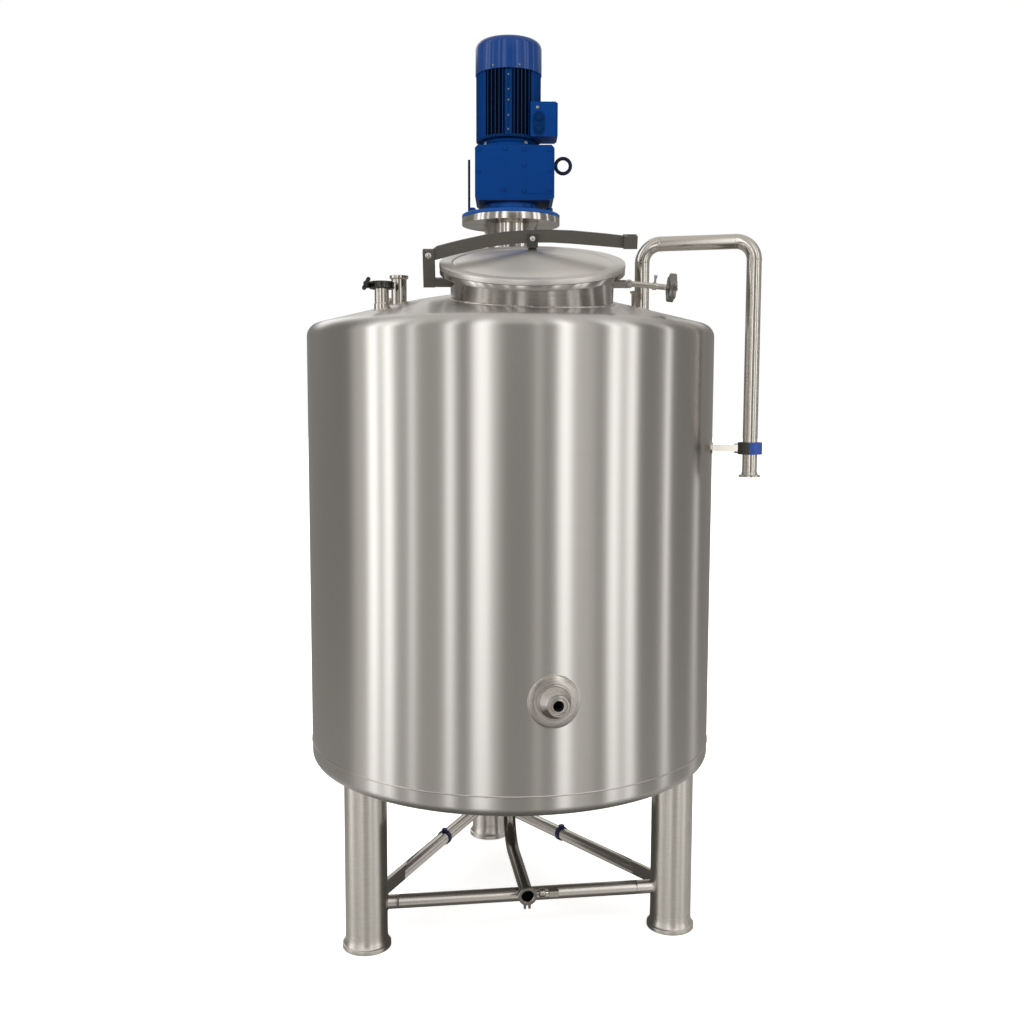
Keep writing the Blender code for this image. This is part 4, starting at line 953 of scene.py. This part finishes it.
def build_gear_unit(screws):
    base = RING_TOP + GAP
    profile = [
        (0.0, base), (FLANGE_R, base), (FLANGE_R, base + 0.0085), (FLANGE_R - 0.003, base + 0.0105),
        (0.092, base + 0.0112), (0.083, base + 0.015), (0.0767, base + 0.024), (0.0767, GEAR_LOW),
        (0.0, GEAR_LOW),
    ]
    bm = turned(bmesh.new(), profile, 128, DRIVE, 0.0012)
    # The flange wears the lighter copy of the enamel, which is painted light
    close("blue_flange", bm, PAINT_LIT_FLANGE, PAINTED, "drive_flange")
    bm = rod(bmesh.new(), (-0.1205, DRIVE_Y, base + 0.0108), (-0.1205, DRIVE_Y, 2.173), 0.0034, 24, 0.0008)
    close("flange_rod", bm, NAVY_EYE_AND_SHADE, PAINTED)
    turn = DRIVE @ spin(22.5) @ move(up(base + 0.0108))
    grow("flange_screws", screws, (8, 0.119, 0.0105, 0.009, 0.0125, 0.0024), PAINT, turn)

    outline = [
        (GEAR_LEFT + 0.014, GEAR_LOW), (GEAR_RIGHT - 0.014, GEAR_LOW), (GEAR_RIGHT, GEAR_LOW + 0.01),
        (GEAR_RIGHT, GEAR_TOP - 0.008), (GEAR_RIGHT - 0.008, GEAR_TOP), (GEAR_LEFT + 0.008, GEAR_TOP),
        (GEAR_LEFT, GEAR_TOP - 0.008), (GEAR_LEFT, GEAR_LOW + 0.01),
    ]
    bm = prism(bmesh.new(), outline, -GEAR_HALF, GEAR_HALF, DRIVE @ UPRIGHT, 0.006, 4)
    # Joint between the two halves of the case, and a raised cover on its front
    front = DRIVE_Y - GEAR_HALF
    low = (GEAR_LEFT + 0.004, front + 0.028, 2.056)
    block(bm, low, (GEAR_RIGHT + 0.0016, front + 0.031, 2.19), 0.0006)
    block(bm, (0.043, front - 0.0012, 2.062), (0.115, front + 0.004, 2.19), 0.001)
    close("gear_case", bm, PAINT, PAINTED, "gearbox")
    bm = bmesh.new()
    spots = (
        (-0.0905, 2.123), (0.0375, 2.141), (0.108, 2.125), (-0.0204, 2.073), (0.0375, 2.069),
        (0.108, 2.073), (-0.0158, 2.185), (0.0375, 2.185), (-0.09, 2.182), (0.108, 2.182),
    )
    for x, z in spots:
        turned(bm, disc(0.0052, 0.0, 0.003), 6, move((x, front - 0.001, z)) @ UPRIGHT, 0.0008)
    close("gear_case_plugs", bm, PAINT, PAINTED)
    # The case's underside lies in its own shade, painted as a dark navy plate under it
    bm = bmesh.new()
    low = (GEAR_LEFT + 0.012, front + 0.004, GEAR_LOW - 0.002)
    block(bm, low, (GEAR_RIGHT - 0.012, DRIVE_Y + GEAR_HALF - 0.004, GEAR_LOW + 0.001), 0.0008)
    close("gear_case_underside", bm, NAVY_EYE_AND_SHADE, PAINTED)
    eye_x = GEAR_RIGHT + EYE_R + EYE_WIRE + 0.002
    place = move((eye_x, DRIVE_Y, EYE_Z)) @ UPRIGHT
    bm = turned(bmesh.new(), arc(EYE_R, 0.0, EYE_WIRE, 0.0, 345.0, 23), 72, place)
    rod(bm, (GEAR_RIGHT + GAP, DRIVE_Y, EYE_Z), (GEAR_RIGHT + 0.007, DRIVE_Y, EYE_Z), 0.0085, 32, 0.001)
    close("eye_ring", bm, NAVY_EYE_AND_SHADE, DARK, "lifting_eye")

    profile = [
        (0.0, 2.1963), (0.086, 2.1963), (0.086, 2.204), (0.078, 2.2065), (0.0738, 2.211),
        (0.0738, 2.2194), (0.0, 2.2194),
    ]
    close("adaptor_ring", turned(bmesh.new(), profile, 96, MOTOR, 0.0015), PAINT, PAINTED, "motor_adaptor")
    turn = MOTOR @ spin(38.0) @ move(up(2.2046))
    grow("adaptor_screws", screws, (4, 0.08, 0.0052, 0.005, 0.0062, 0.0012), RING_STEEL, turn)


def build_motor(screws):
    # The near-black core between the fins is painted shade
    bm = turned(bmesh.new(), disc(MOTOR_CORE, MOTOR_LOW + 0.004, MOTOR_HIGH), 96, MOTOR, 0.001)
    close("motor_core", bm, DARK_INSIDE, PAINTED)
    high = MOTOR_HIGH - MOTOR_LOW - 0.002
    middle = MOTOR @ move(up((MOTOR_HIGH + MOTOR_LOW) / 2.0))
    grow("motor_fins", fin_tree(), (12, 0.0105, 0.0016, high, MOTOR_R), PAINT, middle, "motor_body")
    front = DRIVE_Y - MOTOR_R
    low = (MOTOR_X - 0.0105, front + 0.0004, MOTOR_LOW + 0.004)
    bm = block(bmesh.new(), low, (MOTOR_X + 0.0105, front + 0.02, MOTOR_HIGH - 0.004), 0.0012)
    turned(bm, ring(MOTOR_CORE - 0.004, 0.09, MOTOR_LOW, MOTOR_LOW + 0.008), 96, MOTOR, 0.0015)
    close("motor_rib", bm, PAINT_DIM, PAINTED)
    bm = bmesh.new()
    for z in (2.238, 2.276, 2.317, 2.346, 2.386):
        turned(bm, disc(0.0026, 0.0, 0.0016), 20, move((MOTOR_X, front + 0.0006, z)) @ UPRIGHT, 0.0005)
    close("rib_rivets", bm, BOLT_STEEL, PAINTED)

    cowl = [(0.088, 2.4045), (0.094, 2.4045), (0.0944, 2.4055), (0.0944, 2.4755)]
    cowl += arc(0.0724, 2.4755, 0.022, 0.0, 84.0, 12)
    cowl += [(0.07, 2.4977), (0.056, 2.4982), (0.056, 2.49), (0.064, 2.484), (0.088, 2.47)]
    close("cowl_skin", turned(bmesh.new(), cowl, 144, MOTOR), PAINT_SHEET, PAINTED, "fan_cowl")
    # The dark well under the fan guard is painted shade
    close("cowl_well", turned(bmesh.new(), disc(0.06, 2.484, 2.488), 96, MOTOR), DARK_INSIDE, PAINTED)
    # Guard over the fan: rings on four spokes
    bm = bmesh.new()
    for k in range(6):
        turned(bm, arc(0.008 + 0.009 * k, 2.495, 0.0014, 0.0, 300.0, 5), 72, MOTOR)
    for k in range(4):
        turn = spin(45.0 * k)
        a, b = (MOTOR @ turn @ Vector((x, 0.0, 2.4935)) for x in (-0.057, 0.057))
        rod(bm, a, b, 0.0014, 12)
    close("fan_guard", bm, PAINT_SHEET, PAINTED)
    turn = MOTOR @ spin(18.5) @ move(up(2.4125))
    grow("cowl_screws", screws, (8, 0.094, 0.0028, 0.0016, 0.0036, 0.0006), BOLT_STEEL, turn)

    bm = block(bmesh.new(), (0.0545, -0.0195, 2.2215), (0.1265, 0.075, 2.316), 0.006, steps=4)
    block(bm, (0.125, -0.017, 2.224), (0.1308, 0.0725, 2.3135), 0.0024, steps=3)
    close("box_case", bm, PAINT, PAINTED, "terminal_box")
    # The raised oval that the cable plugs screw into
    oval = arc(0.078, 2.274, 0.0155, 0.0, 180.0, 14) + arc(0.078, 2.24, 0.0155, 180.0, 360.0, 14)
    bm = prism(bmesh.new(), oval, 0.017, 0.0225, UPRIGHT, 0.001)
    for z in (2.241, 2.273):
        place = move((0.078, -0.0222, z)) @ UPRIGHT
        turned(bm, disc(0.012, 0.0, 0.003), 6, place, 0.001)
        turned(bm, disc(0.0085, 0.0025, 0.005), 32, place, 0.0012)
    close("box_plugs", bm, PAINT_DIM, PAINTED)
    bm = rod(bmesh.new(), (0.0745, -0.019, 2.3), (0.0745, -0.0215, 2.3), 0.0042, 24, 0.0006)
    for y in (-0.008, 0.063):
        for z in (2.233, 2.304):
            rod(bm, (0.13, y, z), (0.131, y, z), 0.0042, 24, 0.0004)
    close("box_lid_screws", bm, RING_STEEL, PAINTED)


def line_path():
    """The spray tube's middle line from the top head over to the open end at the side."""
    out = polar(LINE_AZ, 1.0, 0.0)
    top = LINE_Z - LINE_BEND
    points = [(LINE_R_IN, 1.702), (LINE_R_IN, 1.8)]
    points += arc(LINE_R_IN + LINE_BEND, top, LINE_BEND, 180.0, 90.0, 16)
    points += [((LINE_R_IN + LINE_R_OUT) / 2.0, LINE_Z)]
    points += arc(LINE_R_OUT - LINE_BEND, top, LINE_BEND, 90.0, 0.0, 16)
    points += [(LINE_R_OUT, 1.6), (LINE_R_OUT, LINE_END_Z)]
    return [out * r + up(z) for r, z in points]


def build_spray_line():
    bm = pipe(bmesh.new(), line_path(), LINE_TUBE, LINE_BORE, 64)
    nodes = ("spray_riser", "spray_elbow_in", "spray_run", "spray_elbow_out", "spray_downpipe")
    close("spray_tube", bm, TUBE_STEEL, STAINLESS, *nodes)
    out = polar(LINE_AZ, 1.0, 0.0)
    place = move(out * LINE_R_OUT)
    profile = [
        (LINE_BORE, 1.277), (0.029, 1.277), (0.029, 1.2825), (0.0222, 1.2838), (0.0213, LINE_END_Z),
        (LINE_BORE, LINE_END_Z),
    ]
    bm = turned(bmesh.new(), profile, 64, place, 0.001)
    top = LINE_Z - LINE_BEND
    # Weld rings where straight tube meets an elbow
    for r, z, way in (
        (LINE_R_IN, top, up(1.0)), (LINE_R_IN + LINE_BEND, LINE_Z, out),
        (LINE_R_OUT - LINE_BEND, LINE_Z, out), (LINE_R_OUT, top, up(1.0)),
    ):
        at = out * r + up(z)
        turned(bm, arc(LINE_TUBE, 0.0, 0.0011, 0.0, 300.0, 5), 48, frame_along(at, at + way))
    close("spray_ferrule", bm, TUBE_STEEL, STAINLESS)

    bm = bmesh.new()
    frame_at = radial_frame(LINE_AZ, CLIP_Z)
    block(bm, (-0.006, -0.009, R_TANK - 0.001), (0.006, 0.009, LINE_R_OUT - 0.03), 0.001, frame_at)
    turned(bm, disc(0.017, R_TANK - 0.002, R_TANK + 0.003), 48, frame_at, 0.001)
    for z in (-0.0085, 0.0085):
        at = polar(LINE_AZ, LINE_R_OUT - 0.03, CLIP_Z + z)
        rod(bm, at, at - out * 0.012, 0.006, 6, 0.0006)
    close("clip_bar", bm, TUBE_STEEL, STAINLESS)
    close("clip_saddle", half_ring(place, 91.0), DULL_STEEL, STAINLESS, "clip_steel")
    bm = half_ring(place, -89.0)
    lock = place @ move(up(CLIP_Z)) @ Matrix.Rotation(LINE_AZ, 4, "Z")
    block(bm, (-0.0045, -0.0325, -0.015), (0.0045, -0.029, 0.015), 0.001, lock)
    close("clip_sleeve", bm, CLIP_BLUE, TRIM, "clip_plastic")


def half_ring(place, start):
    """Half of the split clip round the spray tube."""
    inner = LINE_TUBE + GAP
    outline = arc(0.0, 0.0, CLIP_R, start, start + 178.0, 36) + arc(0.0, 0.0, inner, start + 178.0, start, 36)
    turn = Matrix.Rotation(LINE_AZ - radians(90.0), 4, "Z")
    return prism(bmesh.new(), outline, CLIP_LOW, CLIP_HIGH, place @ turn, 0.0014)


def build_top_ports():
    tube = [
        (0.017, 1.715), (0.0205, 1.715), (0.0205, 1.805), (0.025, 1.8082), (0.025, 1.8155), (0.017, 1.8155),
    ]
    bm = turned(bmesh.new(), tube, 64, move((*PORT_TUBE, 0.0)), 0.001)
    close("tube_port", bm, TUBE_STEEL, STAINLESS, "port_tube")

    x, y = PORT_CLAMP
    place = move((*PORT_CLAMP, 0.0))
    neck = [
        (0.0, 1.7), (0.02, 1.7), (0.02, 1.733), (0.0185, 1.7365), (0.0185, 1.7735),
        (0.0245, 1.7775), (0.0245, 1.7835), (0.02, 1.7885), (0.0, 1.7905),
    ]
    close("capped_port", turned(bmesh.new(), neck, 64, place, 0.001), TUBE_STEEL, STAINLESS, "port_capped")
    band = [
        (0.0251, 1.7715), (0.031, 1.7715), (0.033, 1.774), (0.0322, 1.779), (0.0322, 1.783), (0.033, 1.788),
        (0.031, 1.7905), (0.0251, 1.7905),
    ]
    bm = turned(bmesh.new(), band, 72, place, 0.0012)
    block(bm, (x - 0.044, y - 0.011, 1.7745), (x - 0.029, y + 0.011, 1.7875), 0.0014)
    close("clamp_band", bm, CLAMP_STEEL, DARK, "port_clamp")
    # Wing nut on the clamp's screw: a boss with one wing up to the right and one down to the left
    nut = Vector((x - 0.036, y - 0.034, 1.7825))
    bm = rod(bmesh.new(), (nut.x, y - 0.005, 1.781), (nut.x, y - 0.038, 1.781), 0.0035, 20)
    rod(bm, nut + Vector((0.0, 0.0045, 0.0)), nut - Vector((0.0, 0.005, 0.0)), 0.007, 24, 0.0012)
    half = [(0.004, 0.0), (0.0055, 0.012), (0.0035, 0.0175)]
    wing = half + [(-x, z) for x, z in reversed(half)]
    for lean in (28.0, 205.0):
        prism(bm, wing, -0.0028, 0.0028, move(nut) @ spin(lean, "Y") @ UPRIGHT, 0.0014, 3)
    close("clamp_wing_nut", bm, BLACKED, DARK)

    plug = [(0.0, 1.715), (0.007, 1.715), (0.007, 1.746)]
    plug += arc(0.0, 1.7525, 0.0095, -43.0, 85.0, 14) + [(0.0, 1.762)]
    bm = turned(bmesh.new(), plug, 48, move((*PORT_PLUG, 0.0)))
    close("ball_plug", bm, TUBE_STEEL, STAINLESS, "port_plug")
    rear = [(0.0, 1.71), (0.013, 1.71), (0.013, 1.782), (0.017, 1.785), (0.017, 1.79), (0.0, 1.79)]
    bm = turned(bmesh.new(), rear, 48, move((*PORT_REAR, 0.0)), 0.0008)
    close("rear_port", bm, TUBE_STEEL, STAINLESS, "port_rear")


def on_shell(side):
    """How far the shell's skin lies in front of the axis, this far to the side."""
    return sqrt(R_TANK ** 2 - side ** 2)


def build_front_port():
    frame_at = radial_frame(PORT_AZ, PORT_Z)
    axis = polar(PORT_AZ, 1.0, 0.0)
    centre = polar(PORT_AZ, R_TANK, PORT_Z) + AXIS
    look = brushed_steel("turned_stainless_port", "CFCAC4", "A29D96", 0.26, 0.75, centre, axis)
    # None stands for a point a little inside the shell's skin
    front = [
        (0.0655, None), (0.0655, 0.5765), (0.065, 0.5775), (0.0642, 0.578), (0.0452, 0.578), (0.045, 0.5783),
        (0.045, 0.5812), (0.0445, 0.5821), (0.0435, 0.5825), (0.0405, 0.5825), (0.0133, 0.5825),
        (0.0133, 0.52), (0.016, 0.52), (0.016, None),
    ]
    loops = [[(x, y, on_shell(x) - 0.002 if z is None else z) for x, y in circle(r, 96)] for r, z in front]
    close("pad_disc", skin(bmesh.new(), loops, frame_at), look, STAINLESS, "port_pad")
    nozzle = [
        (0.0132, 0.515), (0.016, 0.515), (0.016, 0.5828), (0.041, 0.5828), (0.0398, 0.5855),
        (0.0235, 0.599), (0.0213, 0.602), (0.0213, 0.611), (0.0272, 0.613), (0.0272, 0.618),
        (0.0262, 0.6198), (0.0228, 0.62), (0.0212, 0.6172), (0.019, 0.6172), (0.018, 0.6196), (0.015, 0.62),
        (0.0132, 0.6185),
    ]
    close("nozzle_turned", turned(bmesh.new(), nozzle, 72, frame_at, 0.0005), look, STAINLESS, "port_nozzle")
    bm = turned(bmesh.new(), disc(0.0133, 0.585, 0.59), 48, frame_at)
    close("nozzle_shade", bm, DARK_INSIDE, STAINLESS)
    path = [frame_at @ Vector((x, y, on_shell(x))) for x, y in circle(0.066, 160)]
    close("pad_weld_bead", bead(bmesh.new(), path, 0.0012, normal=axis), WELD, STAINLESS)


def build_outlet():
    out = polar(OUT_AZ, 1.0, 0.0)
    points = [(0.0, 0.383), (0.0, OUT_TOP + 0.02)]
    points += arc(OUT_BEND, OUT_TOP, OUT_BEND, 180.0, 266.0, 20)
    path = [out * r + up(z) for r, z in points]
    direction = out * cos(OUT_FALL) - up(sin(OUT_FALL))
    end = path[-1] + direction * (OUT_REACH - points[-1][0])
    path.append(end)
    close("outlet_bend", pipe(bmesh.new(), path, OUT_R, OUT_BORE), OUTLET_STEEL, SATIN, "outlet_pipe")

    frame_at = move(end) @ direction.to_track_quat("Z", "Y").to_matrix().to_4x4()
    clamp = [
        (OUT_BORE, GAP), (0.0225, GAP), (0.0252, 0.003), (0.0252, 0.012), (0.0244, 0.0128), (0.0252, 0.014),
        (0.0252, 0.0162), (0.024, 0.0175), (0.018, 0.0175), (OUT_BORE, 0.014),
    ]
    bm = turned(bmesh.new(), clamp, 72, frame_at, 0.0004)
    for left, right in ((-0.0095, -0.003), (0.003, 0.0095)):
        block(bm, (left, -0.037, 0.003), (right, -0.023, 0.013), 0.0016, frame_at)
    close("outlet_ring", bm, OUTLET_STEEL, SATIN, "outlet_clamp")
    # The liquid's way is dark a little inside the mouth
    bm = turned(bmesh.new(), disc(OUT_BORE + 0.0004, -0.004, 0.0), 48, frame_at)
    close("outlet_shade", bm, DARK_INSIDE, SATIN)

    across = frame_at @ spin(90.0, "Y")
    knob = [
        (0.0, 0.025), (0.006, 0.025), (0.006, 0.033), (0.0095, 0.033), (0.012, 0.036), (0.012, 0.047),
        (0.0095, 0.05), (0.0045, 0.05), (0.0045, 0.065), (0.0, 0.065),
    ]
    bm = turned(bmesh.new(), knob, 48, across, 0.0008)
    block(bm, (-0.011, -0.008, 0.06), (0.011, 0.008, 0.086), 0.0018, across, 3)
    close("lever_knob", bm, TUBE_STEEL, DARK, "outlet_lever")


def build_inside():
    """The shaft and blades stay as they are and only get their finish."""
    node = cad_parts["agitator"]
    for slot in node.material_slots:
        slot.material = TUBE_STEEL


def build_camera():
    data = bpy.data.cameras.new("camera")
    data.sensor_width = SENSOR
    data.lens = FOCAL * SENSOR / PICTURE
    data.shift_x = (PICTURE / 2.0 - CENTRE[0]) / PICTURE
    data.shift_y = (CENTRE[1] - PICTURE / 2.0) / PICTURE
    data.clip_start, data.clip_end = 0.05, 200.0
    camera = put("camera", data)
    level = Matrix.Rotation(radians(90.0) - CAM_PITCH, 4, "X")
    camera.matrix_world = move(CAM_AT + AXIS) @ level @ Matrix.Rotation(CAM_ROLL, 4, "Z")
    bpy.context.scene.camera = camera


# Tall soft boxes round the studio: azimuth from the front towards the right, half width, edge, brightness
SOFT_BOXES = (
    (-90.0, 6.0, 4.0, 0.45), (-80.0, 3.4, 2.0, 2.4), (-69.5, 3.0, 2.0, 2.2), (-54.5, 1.6, 1.6, 1.5),
    (-52.0, 20.0, 8.0, 0.18), (-32.5, 2.0, 2.0, 2.1), (-15.5, 4.5, 2.5, 1.9), (-8.5, 3.0, 3.0, 0.5),
    (15.0, 1.5, 2.0, 0.55), (29.5, 3.5, 2.0, 2.0), (40.0, 7.0, 4.0, 0.5), (57.5, 3.0, 2.0, 1.65),
    (63.0, 6.0, 3.0, 0.55), (69.5, 2.6, 1.8, 1.75), (95.5, 1.8, 1.5, 1.8), (127.0, 2.5, 2.5, 0.75),
)
# Boxes that hang high: the top head and the lid mirror those behind, the braces the one in front
HIGH_BOXES = (
    (150.0, 9.0, 6.0, 0.5), (180.0, 24.0, 12.0, 0.45), (-150.0, 14.0, 7.0, 1.2), (14.0, 22.0, 10.0, 0.4),
)
# Sines of the heights between which the high boxes fade in
HIGH_EDGE = (0.2, 0.36)
STUDIO_GREY = 0.25
CARD_GLOW = 0.07
# Floor, dark underside and ceiling: sines of the heights where each starts and is full, and its glow
LAYERS = ((-0.19, -0.56, 0.5), (-0.6, -0.8, 0.12), (0.42, 0.92, 0.75))
# The grey studio is a little warm and its soft boxes are neutral
STUDIO_TINT = (1.0, 0.962, 0.905, 1.0)
BOX_TINT = (0.995, 0.998, 1.0, 1.0)


def soft_boxes(tree, azimuth, boxes):
    """The sum of tall boxes whose edges fade with the azimuth."""
    total = 0.0
    for at, half, edge, bright in boxes:
        off = maths(tree, "WRAP", maths(tree, "SUBTRACT", azimuth, at), 180.0, -180.0)
        glow = ramp(tree, maths(tree, "ABSOLUTE", off), half + edge, max(0.0, half - edge), 0.0, bright)
        total = maths(tree, "ADD", total, glow)
    return total


def build_world():
    """White for the camera and for soft light. In reflections the studio is grey with tall soft boxes."""
    world = bpy.data.worlds.new("studio")
    bpy.context.scene.world = world
    world.use_nodes = True
    tree = world.node_tree
    tree.nodes.clear()
    seen_way = add(tree, "ShaderNodeTexCoord").outputs["Generated"]
    way = add(tree, "ShaderNodeSeparateXYZ", {0: seen_way}).outputs
    back = maths(tree, "MULTIPLY", way["Y"], -1.0)
    azimuth = maths(tree, "DEGREES", maths(tree, "ARCTAN2", way["X"], back))
    high, low = (soft_boxes(tree, azimuth, boxes) for boxes in (HIGH_BOXES, SOFT_BOXES))
    lit = maths(tree, "MULTIPLY_ADD", high, ramp(tree, way["Z"], *HIGH_EDGE), low)
    mirror = maths(tree, "ADD", lit, STUDIO_GREY)
    for start, end, glow in LAYERS:
        mirror = mix(tree, ramp(tree, way["Z"], start, end), mirror, glow)
    ray = add(tree, "ShaderNodeLightPath").outputs
    warm = ramp(tree, mirror, STUDIO_GREY, 1.4, kind="LINEAR")
    tint = add(tree, "ShaderNodeMix", {0: warm, 6: STUDIO_TINT, 7: BOX_TINT}, data_type="RGBA").outputs[2]
    tone = mix(tree, ray["Is Glossy Ray"], 1.0, mirror)
    shade = add(tree, "ShaderNodeBackground", {"Color": tint, "Strength": tone})
    plain = add(tree, "ShaderNodeBackground", {"Color": (1.0, 1.0, 1.0, 1.0), "Strength": 1.0})
    seen = {0: ray["Is Camera Ray"], 1: shade.outputs[0], 2: plain.outputs[0]}
    add(tree, "ShaderNodeOutputWorld", {"Surface": add(tree, "ShaderNodeMixShader", seen).outputs[0]})


def sheet(name, corners, mat):
    """A flat face in the scene's frame."""
    mesh = bpy.data.meshes.new(name)
    mesh.from_pydata(corners, [], [tuple(range(len(corners)))])
    mesh.materials.append(mat)
    return put(name, mesh)


def build_floor():
    # A lit sweep: it stays white away from the tank's own soft shade
    mat = studio_matt("white_studio_floor", "FFFFFF", "FAFAFA", 3.0, 2.0, 0.9, 0.5, "FFFFFF", 0.6)
    half = 40.0
    corners = [(half * x, half * y, 0.0) for x, y in ((-1.0, -1.0), (1.0, -1.0), (1.0, 1.0), (-1.0, 1.0))]
    floor = sheet("floor", corners, mat)
    # The floor doesn't mirror in the steel, so the tall reflections run down to the tank's foot
    floor.visible_glossy = False


def build_cards():
    """Dim cards between the legs, seen only in reflections: they darken what the legs and pipes mirror."""
    mat = studio_matt("black_card", "141312", "0E0D0C", 40.0, 1.0, 1.0, 0.0, "FFF6EC", CARD_GLOW)
    cards = [("card_under_tank", [(x, y, 0.362) for x, y in circle(0.3, 48)])]
    for name, x, front, back in (
        ("card_by_left_leg", -0.3, -0.345, 0.15), ("card_by_right_leg", 0.36, -0.219, 0.25),
    ):
        cards.append((name, [(x, front, -0.45), (x, back, -0.45), (x, back, 0.34), (x, front, 0.34)]))
    for name, corners in cards:
        card = sheet(name, [tuple(Vector(c) + AXIS) for c in corners], mat)
        card.visible_camera = False
        card.visible_diffuse = False
        card.visible_shadow = False
        card.visible_transmission = False


def build_lights():
    for name, at, size, power in (
        ("key_light", Vector((-2.2, -2.6, 3.4)), 1.6, 60.0),
        ("fill_light", Vector((2.6, -2.2, 2.6)), 1.8, 35.0),
    ):
        data = bpy.data.lights.new(name, "AREA")
        data.shape = "SQUARE"
        data.size = size
        data.energy = power
        lamp = put(name, data)
        # The steel mirrors the studio's soft boxes, not these
        lamp.visible_glossy = False
        aim = up(1.5) - at
        lamp.matrix_world = move(at) @ aim.to_track_quat("-Z", "Y").to_matrix().to_4x4()


def build_all():
    build_camera()
    build_world()
    build_floor()
    build_cards()
    build_lights()
    build_vessel()
    build_welds()
    build_stand()
    build_neck()
    build_lid()
    build_arm()
    build_closing_bolt()
    build_pedestal()
    build_gear_unit(screw_tree("standing_screws", False, 6))
    build_motor(screw_tree("wall_screws", True, 20))
    build_spray_line()
    build_top_ports()
    build_front_port()
    build_outlet()
    build_inside()
    bpy.context.scene.view_settings.view_transform = "Standard"


build_all()
